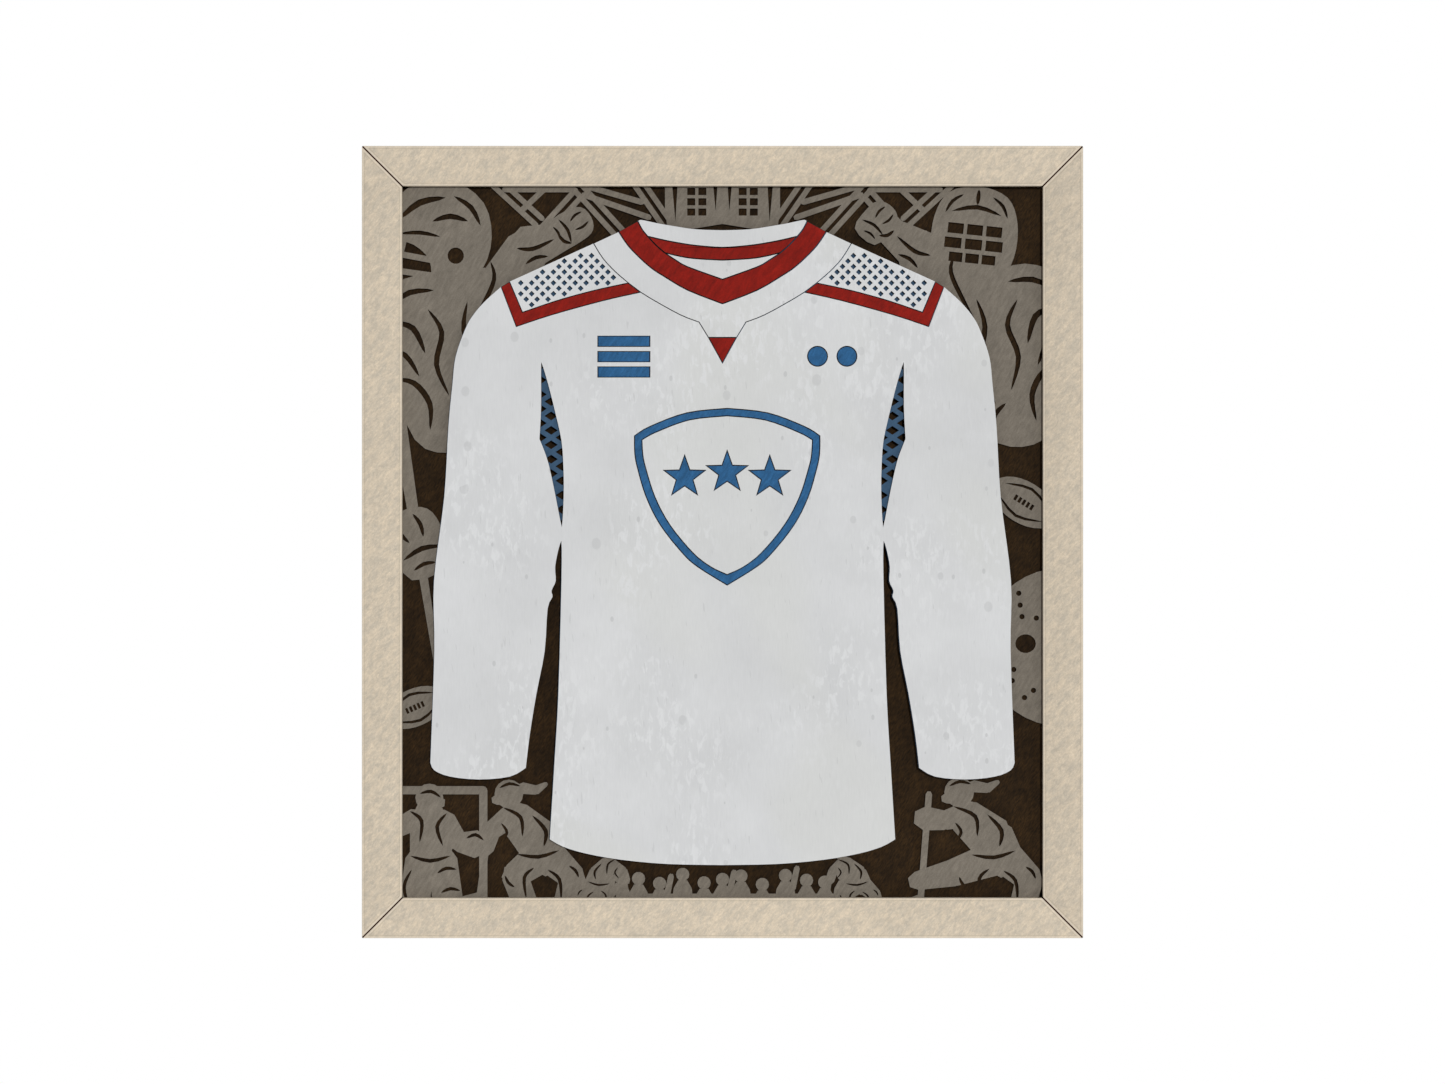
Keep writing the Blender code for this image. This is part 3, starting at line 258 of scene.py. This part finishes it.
    def finish(self, base, height=None, strength=0.3, distance=0.05, roughness=None):
        """Wire up the shader; distance is the depth of the bump in millimetres."""
        self.plug(self.shader.inputs["Base Color"], base)
        if roughness is not None:
            self.plug(self.shader.inputs["Roughness"], roughness)
        if height is not None:
            bump = self.add("ShaderNodeBump")
            bump.inputs["Strength"].default_value = strength
            bump.inputs["Distance"].default_value = distance * MM
            self.plug(bump.inputs["Height"], height)
            self.plug(self.shader.inputs["Normal"], bump.outputs[0])
        return self.material


def burnt_edge(g, face, start):
    """Laser-cut plywood: face on the broad sides, scorched plies on the cut edges.

    start is the y of the sheet's front in millimetres.
    """
    depth = g.math('SUBTRACT', g.y, start)
    ply = g.band(g.math('ABSOLUTE', g.math('SUBTRACT', g.math('FRACT', depth), 0.5)), 0.28, 0.42)
    soot = g.noise(0.9, 3.0, vector=g.stretched(1.0, 0.25, 1.0))
    scorched = g.mix(soot, CHAR_DARK, CHAR_LIGHT)
    scorched = g.mix(g.math('MULTIPLY', ply, 0.45), scorched, CHAR_PLY)
    side = g.band(g.math('ABSOLUTE', g.facing()), 0.35, 0.8, 1.0, 0.0)
    return g.mix(side, face, scorched)


def painted_sheet(name, base, start, blotch, streak, fine):
    """Stained or thinly painted plywood with short leaning brush marks.

    blotch, streak and fine are how strongly each size of mark shows.
    """
    g = Graph(name)
    clouds = g.noise(0.03, 3.0, 0.55)
    blotches = g.noise(0.22, 4.0, 0.6, g.stretched(1.0, 1.0, 0.6, BRUSH_LEAN),
                       distortion=0.5)
    streaks = g.noise(0.7, 4.0, 0.65, g.stretched(1.0, 1.0, 0.25, BRUSH_LEAN))
    grain = g.noise(1.6, 2.0, 0.5)
    tone = g.tone(g.tone(base, clouds, blotch), blotches, 2 * blotch)
    tone = g.tone(g.tone(tone, streaks, 2 * streak), grain, 2 * fine)
    face = burnt_edge(g, tone, start)
    height = g.math('MULTIPLY_ADD', streaks, 0.7, g.math('MULTIPLY', grain, 0.3))
    return g.finish(face, height, 0.35, 0.08, g.math('MULTIPLY_ADD', streaks, 0.24, 0.68))


def white_sheet(base, start):
    """White paint on birch: soft clouds, brushed flecks, pale knots and a few pores."""
    g = Graph("white_ply_paint")
    clouds = g.noise(0.02, 4.0, 0.6)
    drift = g.band(g.noise(0.009, 2.0, 0.5, g.stretched(1.0, 1.0, 0.6, 25.0)), 0.50, 0.62)
    brushed = g.noise(0.33, 4.0, 0.6, g.stretched(1.0, 1.0, 0.45), distortion=0.5)
    where = g.band(g.noise(0.014, 2.0, 0.5), 0.42, 0.60)
    flecks = g.math('MULTIPLY', g.band(brushed, 0.50, 0.62), where)
    grain = g.noise(1.0, 3.0, 0.6, g.stretched(1.4, 1.0, 0.16))
    pitted = g.noise(1.0, 1.0, 0.5, g.stretched(0.8, 1.0, 0.1, 5.0))
    pores = g.math('MULTIPLY', g.band(pitted, 0.71, 0.76), 0.35)
    knots = g.spots(24.0, 2.4, 0.2)
    nicks = g.spots(16.0, 0.9, 0.22, 0.6)
    tone = g.tone(base, clouds, 0.26)
    tone = g.mix(g.math('MULTIPLY', drift, 0.45), tone, tinted(base, 1.0, 1.0, 0.955))
    tone = g.mix(g.math('MULTIPLY', flecks, 0.8), tone, tinted(base, 1.1, 1.1, 1.1))
    tone = g.tone(tone, grain, 0.11)
    marks = g.math('MAXIMUM', g.math('MULTIPLY', knots, 0.36), g.math('MULTIPLY', nicks, 0.5))
    marks = g.math('MAXIMUM', marks, pores)
    tone = g.mix(marks, tone, tinted(base, 0.72, 0.72, 0.72))
    face = burnt_edge(g, tone, start)
    height = g.math('MULTIPLY_ADD', marks, -0.9, g.math('MULTIPLY', grain, 0.4))
    height = g.math('MULTIPLY_ADD', flecks, 0.25, height)
    return g.finish(face, height, 0.3, 0.07, g.math('MULTIPLY_ADD', flecks, -0.1, 0.8))


def sheet_front(node):
    """The y of a sheet's front face, in millimetres."""
    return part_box(node)[0].y / MM


def cream_rails():
    """Cream painted rails: brushed mottling, a painted highlight along the arrises with a painted
    shade line inside it, brown mitre lines, bare back.
    """
    g = Graph("cream_rail_paint")
    slant = g.stretched(1.0, 1.0, 0.5, -40.0)
    blotches = g.noise(0.3, 5.0, 0.65, slant, distortion=0.3)
    strokes = g.noise(1.2, 4.0, 0.65, slant)
    specks = g.noise(2.6, 2.0, 0.5)
    tone = g.mix(g.band(blotches, 0.28, 0.72), CREAM_SHADE, CREAM_LIGHT)
    tone = g.tone(tone, g.noise(0.02, 2.0), 0.14)
    tone = g.tone(g.tone(tone, strokes, 0.56), specks, 0.40)
    # distances from the outer edge, the window and the mitre, in millimetres
    px = g.math('ABSOLUTE', g.x)
    pz = g.math('ABSOLUTE', g.math('SUBTRACT', g.z, MIDDLE_Z))
    to_side = g.math('SUBTRACT', HALF_WIDTH, px)
    to_end = g.math('SUBTRACT', HALF_HEIGHT, pz)
    upright = g.band(g.math('SUBTRACT', to_end, to_side), -0.1, 0.1)
    # the upright rails a little darker than the top and bottom rails
    tone = g.tone(tone, upright, -0.05)
    outer = g.math('MINIMUM', to_side, to_end)
    inner = g.math('SUBTRACT', RAIL_WIDTH, outer)
    apart = g.math('ABSOLUTE', g.math('SUBTRACT', to_side, to_end))
    mitre = g.math('MULTIPLY', apart, DIAGONAL)
    edge = g.math('MINIMUM', g.math('MINIMUM', outer, inner), g.math('SUBTRACT', mitre, 0.45))
    # painted highlight: a lighter band along the outer edge, the window and the mitres
    arris = g.band(edge, 0.7, 1.2, 1.0, 0.0)
    tone = g.mix(g.math('MULTIPLY', arris, 0.45), tone, CREAM_PAINTED_HIGHLIGHT)
    # painted shade: a faint dark line just inside the highlight, as if shadow in a groove that the
    # rails don't have
    groove_shade = g.math('MULTIPLY', g.band(edge, 1.0, 1.4), g.band(edge, 1.4, 1.8, 1.0, 0.0))
    tone = g.mix(g.math('MULTIPLY', groove_shade, 0.4), tone, CREAM_GROOVE_SHADE)
    seam = g.band(mitre, 0.36, 0.48, 1.0, 0.0)
    tone = g.mix(seam, tone, SEAM_FRONT)
    # bare pine behind, its growth rings along each rail
    along_z = g.noise(0.35, 3.0, 0.6, g.stretched(1.0, 1.0, 0.03), distortion=0.3)
    along_x = g.noise(0.35, 3.0, 0.6, g.stretched(0.03, 1.0, 1.0), distortion=0.3)
    rings = g.mix(upright, along_x, along_z)
    bare = g.mix(g.band(rings, 0.38, 0.62), PINE_DARK, PINE_LIGHT)
    bare = g.mix(seam, bare, SEAM_BACK)
    tone = g.mix(g.band(g.facing(), 0.3, 0.7), tone, bare)
    height = g.math('ADD', strokes, g.math('MULTIPLY', specks, 0.5))
    return g.finish(tone, height, 0.14, 0.06, g.math('MULTIPLY_ADD', strokes, 0.24, 0.66))


def steel():
    """Zinc plated steel with a cloudy passivated tint and fine scratches."""
    g = Graph("zinc_plate", 0.36, 1.0, 0.5)
    cloud = g.band(g.noise(0.35, 3.0, 0.6), 0.3, 0.7)
    scratch = g.noise(3.0, 2.0, 0.6, g.stretched(1.0, 1.0, 0.08, 62.0))
    tone = g.mix(cloud, ZINC_COOL, ZINC_WARM)
    tone = g.tone(tone, scratch, 0.35)
    return g.finish(tone, scratch, 0.15, 0.02, g.math('MULTIPLY_ADD', cloud, 0.22, 0.26))


def glue_film():
    """Dark reddish brown glue with a broken gloss."""
    g = Graph("mitre_glue_film")
    lumps = g.noise(0.9, 3.0, 0.6)
    tone = g.mix(lumps, GLUE_DARK, GLUE_LIGHT)
    return g.finish(tone, lumps, 0.4, 0.08, g.math('MULTIPLY_ADD', lumps, 0.4, 0.4))


def scorch():
    """The narrow halo that the laser leaves along a cut."""
    g = Graph("laser_scorch")
    soot = g.noise(0.8, 3.0, 0.6)
    tone = g.mix(g.band(soot, 0.3, 0.7), HALO_DARK, HALO_LIGHT)
    return g.finish(tone, soot, 0.3, 0.05, g.math('MULTIPLY_ADD', soot, 0.2, 0.7))


def back_board(start):
    """The back panel: brown stain in front, bare birch ply with long grain behind."""
    g = Graph("back_panel_ply")
    blotches = g.noise(0.17, 3.0, 0.55, g.stretched(1.0, 1.0, 0.6, BRUSH_LEAN), distortion=0.5)
    streaks = g.noise(1.3, 4.0, 0.65, g.stretched(1.0, 1.0, 0.25, BRUSH_LEAN))
    stain = g.tone(g.tone(BROWN, blotches, 1.7), streaks, 3.2)
    wave = g.noise(0.006, 2.0, 0.45, g.stretched(1.0, 1.0, 0.3))
    ripple = g.noise(0.06, 3.0, 0.6, g.stretched(1.0, 1.0, 0.2))
    warped = g.math('MULTIPLY_ADD', wave, 95.0, g.math('MULTIPLY', g.x, 0.16))
    warped = g.math('MULTIPLY_ADD', ripple, 2.6, warped)
    rings = g.math('MULTIPLY_ADD', g.math('SINE', warped), 0.5, 0.5)
    pores = g.noise(1.0, 3.0, 0.6, g.stretched(1.6, 1.0, 0.06))
    bare = g.mix(g.math('MULTIPLY', rings, rings), BIRCH_LIGHT, BIRCH_DARK)
    bare = g.tone(g.tone(bare, pores, 0.26), g.noise(0.02, 3.0), 0.22)
    tone = g.mix(g.band(g.facing(), 0.3, 0.7), stain, bare)
    face = burnt_edge(g, tone, start)
    return g.finish(face, g.math('ADD', streaks, pores), 0.3, 0.07,
                    g.math('MULTIPLY_ADD', pores, 0.2, 0.68))


def rubber():
    """Moulded black rubber with a fine matt texture."""
    g = Graph("moulded_rubber", 0.8, specular=0.35)
    grit = g.noise(2.6, 3.0, 0.6)
    tone = g.mix(g.noise(0.3, 2.0), RUBBER_DARK, RUBBER_LIGHT)
    return g.finish(tone, grit, 0.5, 0.05, g.math('MULTIPLY_ADD', grit, 0.2, 0.68))


def assign(material, names):
    """Make material the only one on each of the named CAD nodes."""
    for name in names:
        slots = NODES[name].data.materials
        slots.clear()
        slots.append(material)


def paint_nodes():
    """One procedural material for each finish, on every CAD node.

    Returns the node names under each slot, and the zinc plated steel.
    """
    face = sheet_front("jersey_front")
    white = white_sheet(WHITE, face)
    red = painted_sheet("red_ply_paint", RED, face, 0.34, 0.6, 0.26)
    blue = painted_sheet("blue_ply_paint", BLUE, face, 0.30, 0.55, 0.26)
    # painted shade: the backer gets a duller copy of the blue paint, as the deeper sheet looks in
    # shade
    backer_blue_painted_shade = painted_sheet("backer_ply_painted_shade", BLUE_PAINTED_SHADE, sheet_front("jersey_backer"),
                         0.18, 0.26, 0.20)
    grey = painted_sheet("grey_ply_stain", GREY, sheet_front("fretwork_panel"),
                         0.22, 0.42, 0.24)
    finishes = {"white_paint": white, "red_paint": red, "blue_paint": blue,
                "cream_paint": cream_rails(), "grey_stain": grey,
                "brown_stain": back_board(sheet_front("back_panel")),
                "zinc_plated_steel": steel(), "black_rubber": rubber()}
    by_slot = {slot: [] for slot in finishes}
    for record in frame["record"]["subparts"]:
        by_slot[record["material_slot"]].append(record["node"])
    for slot, names in by_slot.items():
        assign(finishes[slot], names)
    assign(backer_blue_painted_shade, ["jersey_backer"])
    return by_slot, finishes["zinc_plated_steel"]


def ease_nodes(by_slot):
    """Shade the laser-cut sheets, and round the arrises of the rest."""
    halo = scorch()
    inlays = by_slot["red_paint"] + [n for n in by_slot["blue_paint"] if n != "jersey_backer"]
    ease(inlays, 0.2, edge=halo)
    ease(["collar_band", "back_neck_band", "neck_insert"], 0.1, edge=halo)
    shade(["jersey_front", "yoke_left", "yoke_right", "shield_field", "jersey_backer",
           "fretwork_panel"])
    ease(["back_panel"], 0.3, dissolve=True)
    ease(by_slot["cream_paint"], 0.4, 2, dissolve=True)
    metal = by_slot["zinc_plated_steel"]
    ease([n for n in metal if n.startswith(("turn_", "hanger_strap"))], 0.25, 2, dissolve=True)
    ease([n for n in metal if n.startswith("corner_")], 0.05)
    ease(by_slot["black_rubber"], 0.35, 3)


# ---------------------------------------------------------------- arrises and fine pieces

def smooth_by_angle():
    """A node group that shades smooth across edges flatter than SMOOTH_ANGLE."""
    group = bpy.data.node_groups.new("smooth_by_angle", 'GeometryNodeTree')
    group.interface.new_socket("Geometry", in_out='INPUT', socket_type='NodeSocketGeometry')
    group.interface.new_socket("Geometry", in_out='OUTPUT', socket_type='NodeSocketGeometry')
    nodes, links = group.nodes, group.links
    source, sink = nodes.new("NodeGroupInput"), nodes.new("NodeGroupOutput")
    clear = nodes.new("GeometryNodeRemoveAttribute")
    clear.inputs["Name"].default_value = "custom_normal"
    faces = nodes.new("GeometryNodeSetShadeSmooth")
    faces.domain = 'FACE'
    edges = nodes.new("GeometryNodeSetShadeSmooth")
    edges.domain = 'EDGE'
    sharp = nodes.new("FunctionNodeCompare")
    sharp.data_type = 'FLOAT'
    sharp.operation = 'LESS_THAN'
    sharp.inputs[1].default_value = math.radians(SMOOTH_ANGLE)
    links.new(nodes.new("GeometryNodeInputMeshEdgeAngle").outputs["Unsigned Angle"],
              sharp.inputs[0])
    links.new(source.outputs[0], clear.inputs["Geometry"])
    links.new(clear.outputs["Geometry"], faces.inputs["Geometry"])
    links.new(faces.outputs["Geometry"], edges.inputs["Geometry"])
    links.new(sharp.outputs[0], edges.inputs["Shade Smooth"])
    links.new(edges.outputs["Geometry"], sink.inputs[0])
    return group


def weld(obj):
    """Join the vertices that the CAD faces have in common."""
    obj.modifiers.new("weld", 'WELD').merge_threshold = WELD_REACH


def smooth(obj):
    """Shade smooth by angle, as the last modifier."""
    obj.modifiers.new("smooth", 'NODES').node_group = SMOOTH


def shade(names):
    """Shade crisp laser-cut sheets smooth round their curves, with no rounding."""
    for name in names:
        weld(NODES[name])
        smooth(NODES[name])


def ease(names, width, segments=1, edge=None, dissolve=False):
    """Round the sharp edges of CAD nodes by width in mm, with an edge material if given.

    dissolve first joins the triangles of flat faces, which pierced sheets don't take well.
    """
    for name in names:
        obj = NODES[name]
        weld(obj)
        if dissolve:
            flat = obj.modifiers.new("flat", 'DECIMATE')
            flat.decimate_type = 'DISSOLVE'
            flat.angle_limit = math.radians(FLAT_ANGLE)
        arris = obj.modifiers.new("arris", 'BEVEL')
        arris.width = width * MM
        arris.segments = segments
        arris.limit_method = 'ANGLE'
        arris.angle_limit = math.radians(ARRIS_ANGLE)
        arris.use_clamp_overlap = False
        if edge:
            obj.data.materials.append(edge)
            arris.material = 1
        smooth(obj)


def place(name, data):
    """A new object in the scene that shows data."""
    obj = bpy.data.objects.new(name, data)
    bpy.context.scene.collection.objects.link(obj)
    return obj


def from_bmesh(name, bm):
    """A new object from a bmesh, which is freed."""
    mesh = bpy.data.meshes.new(name)
    bmesh.ops.recalc_face_normals(bm, faces=bm.faces)
    bm.to_mesh(mesh)
    bm.free()
    return place(name, mesh)


def evaluated_mesh(obj):
    """A new mesh of an object as its modifiers and curves leave it."""
    shape = obj.evaluated_get(bpy.context.evaluated_depsgraph_get())
    return bpy.data.meshes.new_from_object(shape)


def evenly(end, steps):
    """Values from 0 to end in equal steps, both included."""
    return [end * i / steps for i in range(steps + 1)]


def lathe(profile):
    """A bmesh turned round the Y axis from (radius, y) points in millimetres."""
    bm = bmesh.new()
    verts = [bm.verts.new((r * MM, y * MM, 0)) for r, y in profile]
    edges = [bm.edges.new(pair) for pair in zip(verts, verts[1:])]
    bmesh.ops.spin(bm, geom=verts + edges, cent=(0, 0, 0), axis=(0, 1, 0),
                   steps=LATHE_STEPS, angle=2 * math.pi)
    bmesh.ops.remove_doubles(bm, verts=bm.verts, dist=LATHE_WELD)
    return bm


def cross_recess():
    """Two crossed tapered blades whose floor narrows into the screw head."""
    bm = bmesh.new()
    top, foot = HEAD_HEIGHT + OVERCUT, HEAD_HEIGHT - RECESS_DEPTH
    for turn in (0.0, math.pi / 2):
        corners = []
        for (a, b), y in ((RECESS_TOP, top), (RECESS_FOOT, foot)):
            corners += [bm.verts.new(((x * math.cos(turn) - z * math.sin(turn)) * MM, y * MM,
                                      (x * math.sin(turn) + z * math.cos(turn)) * MM))
                        for x, z in ((a, b), (-a, b), (-a, -b), (a, -b))]
        bm.faces.new(corners[:4])
        bm.faces.new(corners[7:3:-1])
        for i in range(4):
            j = (i + 1) % 4
            bm.faces.new((corners[i], corners[4 + i], corners[4 + j], corners[j]))
    return bm


def pan_head_mesh():
    """A pan head screw with a cross recess, its head rising along +Y from the origin."""
    dome = [(HEAD_RADIUS * math.sin(math.pi / 2 * t) ** 0.8,
             HEAD_HEIGHT * (0.30 + 0.70 * (1 - t ** 2.6))) for t in evenly(1.0, 12)]
    rim = [(HEAD_RADIUS, HEAD_RIM), (HEAD_RADIUS - HEAD_RIM, 0.0)]
    shank = [(SHANK_RADIUS, 0.0), (SHANK_RADIUS, -SHANK_LENGTH), (0.0, -SCREW_LENGTH)]
    head = from_bmesh("screw_blank", lathe([(0.0, HEAD_HEIGHT)] + dome[1:] + rim + shank))
    tool = from_bmesh("screw_recess", cross_recess())
    cut = head.modifiers.new("recess", 'BOOLEAN')
    cut.object = tool
    cut.solver = 'EXACT'
    cut.use_self = True
    smooth(head)
    mesh = evaluated_mesh(head)
    for obj in (head, tool):
        bpy.data.objects.remove(obj)
    return mesh


def make_screws(material):
    """Cross recessed pan head screws in place of the plain turned ones."""
    mesh = pan_head_mesh()
    mesh.materials.clear()
    mesh.materials.append(material)
    names = [n for n in NODES if n.startswith(("button_screw_", "hanger_screw_"))]
    for i, name in enumerate(names):
        low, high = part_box(name)
        head = place(name + "_pan_head", mesh)
        head.location = ((low.x + high.x) / 2, high.y - HEAD_HEIGHT * MM, (low.z + high.z) / 2)
        head.rotation_euler = (0, FIRST_TURN + TURN_STEP * i, 0)
        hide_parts(name)
        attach(head, "frame")


def wire_mesh(path, radius):
    """A capped round wire along (x, z) points, all in metres."""
    data = bpy.data.curves.new("wire", 'CURVE')
    data.dimensions = '3D'
    data.bevel_depth = radius
    data.bevel_resolution = 5
    data.use_fill_caps = True
    spline = data.splines.new('POLY')
    spline.points.add(len(path) - 1)
    for point, (x, z) in zip(spline.points, path):
        point.co = (x, 0, z, 1)
    shape = place("wire", data)
    mesh = evaluated_mesh(shape)
    bpy.data.objects.remove(shape)
    return mesh


def make_rings(material):
    """Round bent wire in place of the faceted D-rings, butted in the middle of the bar."""
    for side in ("left", "right"):
        low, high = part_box("hanger_ring_" + side)
        wire = (high.y - low.y) / 2
        reach = (high.x - low.x) / 2 - wire
        centre = Vector(((low.x + high.x) / 2, (low.y + high.y) / 2, high.z - wire))
        straight = (high.z - low.z) - 2 * wire - reach
        bend = RING_BEND * MM
        corner = [(reach - bend * (1 - math.sin(a)), -bend * (1 - math.cos(a)))
                  for a in evenly(math.pi / 2, 8)]
        bow = [(reach * math.cos(a), -straight - reach * math.sin(a)) for a in evenly(math.pi, 32)]
        half = [(RING_BUTT * MM, 0.0), (reach / 2, 0.0)] + corner
        mesh = wire_mesh(half + bow + [(-x, z) for x, z in reversed(half)], wire)
        mesh.materials.clear()
        mesh.materials.append(material)
        mesh.name = "bent_wire_" + side
        ring = place("bent_wire_" + side, mesh)
        smooth(ring)
        ring.location = centre
        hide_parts("hanger_ring_" + side)
        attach(ring, "hanger_ring_" + side)


def make_glue_lines(material):
    """The dark film of glue in each mitre, a little short of the face and uneven along it."""
    front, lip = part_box("rail_top")[0].y / MM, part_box("jersey_backer")[1].y / MM
    back = lip - GLUE_BACK
    half = GLUE_THICKNESS / 2 * DIAGONAL
    for i, (sx, sz) in enumerate(((-1, 1), (1, 1), (1, -1), (-1, -1)), 1):
        bm = bmesh.new()
        rows = []
        for k in range(GLUE_STEPS + 1):
            along = GLUE_INSET + (RAIL_WIDTH - 2 * GLUE_INSET) * k / GLUE_STEPS
            # two short waves make the film uneven, as squeezed out glue is
            crown = front + GLUE_DIP + 0.05 * math.sin(2.1 * k + i) + 0.04 * math.sin(5.3 * k)
            side = crown + GLUE_CROWN
            x, z = sx * (HALF_WIDTH - along), MIDDLE_Z + sz * (HALF_HEIGHT - along)
            rows.append([bm.verts.new(((x + a * half * sz) * MM, y * MM, (z - a * half * sx) * MM))
                         for a, y in ((1, side), (0, crown), (-1, side), (-1, back), (1, back))])
        for a, b in zip(rows, rows[1:]):
            for j in range(5):
                k = (j + 1) % 5
                bm.faces.new((a[j], a[k], b[k], b[j]))
        bm.faces.new(rows[0][::-1])
        bm.faces.new(rows[-1])
        glue = from_bmesh("mitre_glue_%d" % i, bm)
        glue.data.materials.append(material)
        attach(glue, "frame")


# ---------------------------------------------------------------- stage

def make_floor():
    """A pale floor, well below the frame."""
    mesh = bpy.data.meshes.new("floor")
    bm = bmesh.new()
    bmesh.ops.create_grid(bm, x_segments=1, y_segments=1, size=FLOOR_SIZE)
    bm.to_mesh(mesh)
    bm.free()
    floor = place("floor", mesh)
    floor.location = (0, 0, BOTTOM_Z - FLOOR_DROP)
    pale = Graph("pale_floor", 0.9)
    floor.data.materials.append(pale.finish(pale.tone(FLOOR_PALE, pale.noise(0.01), 0.03)))


def make_world(scene):
    """Even light from all round, seen by the camera as pure white."""
    world = bpy.data.worlds.new("studio")
    scene.world = world
    world.use_nodes = True
    nodes, links = world.node_tree.nodes, world.node_tree.links
    ambient = nodes["Background"]
    ambient.inputs["Color"].default_value = (1, 1, 1, 1)
    ambient.inputs["Strength"].default_value = AMBIENT
    seen = nodes.new("ShaderNodeBackground")
    seen.inputs["Color"].default_value = (1, 1, 1, 1)
    choose = nodes.new("ShaderNodeMixShader")
    links.new(nodes.new("ShaderNodeLightPath").outputs["Is Camera Ray"], choose.inputs[0])
    links.new(ambient.outputs[0], choose.inputs[1])
    links.new(seen.outputs[0], choose.inputs[2])
    links.new(choose.outputs[0], nodes["World Output"].inputs["Surface"])


def make_lights():
    """The suns of LIGHTS."""
    for name, towards, energy, spread in LIGHTS:
        light = bpy.data.lights.new(name, 'SUN')
        light.energy = energy
        light.angle = math.radians(spread)
        lamp = place(name, light)
        lamp.rotation_euler = Vector(towards).to_track_quat('-Z', 'Y').to_euler()


def make_camera(scene):
    """A camera straight in front, as far off as its lens needs for VIEW_WIDTH."""
    data = bpy.data.cameras.new("camera")
    data.sensor_width = SENSOR
    data.lens = LENS
    data.clip_end = 50.0
    camera = place("camera", data)
    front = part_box("rail_top")[0].y
    camera.location = (0, front - VIEW_WIDTH * LENS / SENSOR, MIDDLE_Z * MM)
    camera.rotation_euler = (math.pi / 2, 0, 0)
    scene.camera = camera


def make_stage():
    """Floor, world, lights and camera, in plain sRGB with no look."""
    scene = bpy.context.scene
    scene.view_settings.view_transform = 'Standard'
    scene.view_settings.look = 'None'
    make_floor()
    make_world(scene)
    make_lights()
    make_camera(scene)


SMOOTH = smooth_by_angle()
make_stage()
slots, zinc = paint_nodes()
ease_nodes(slots)
make_screws(zinc)
make_rings(zinc)
make_glue_lines(glue_film())
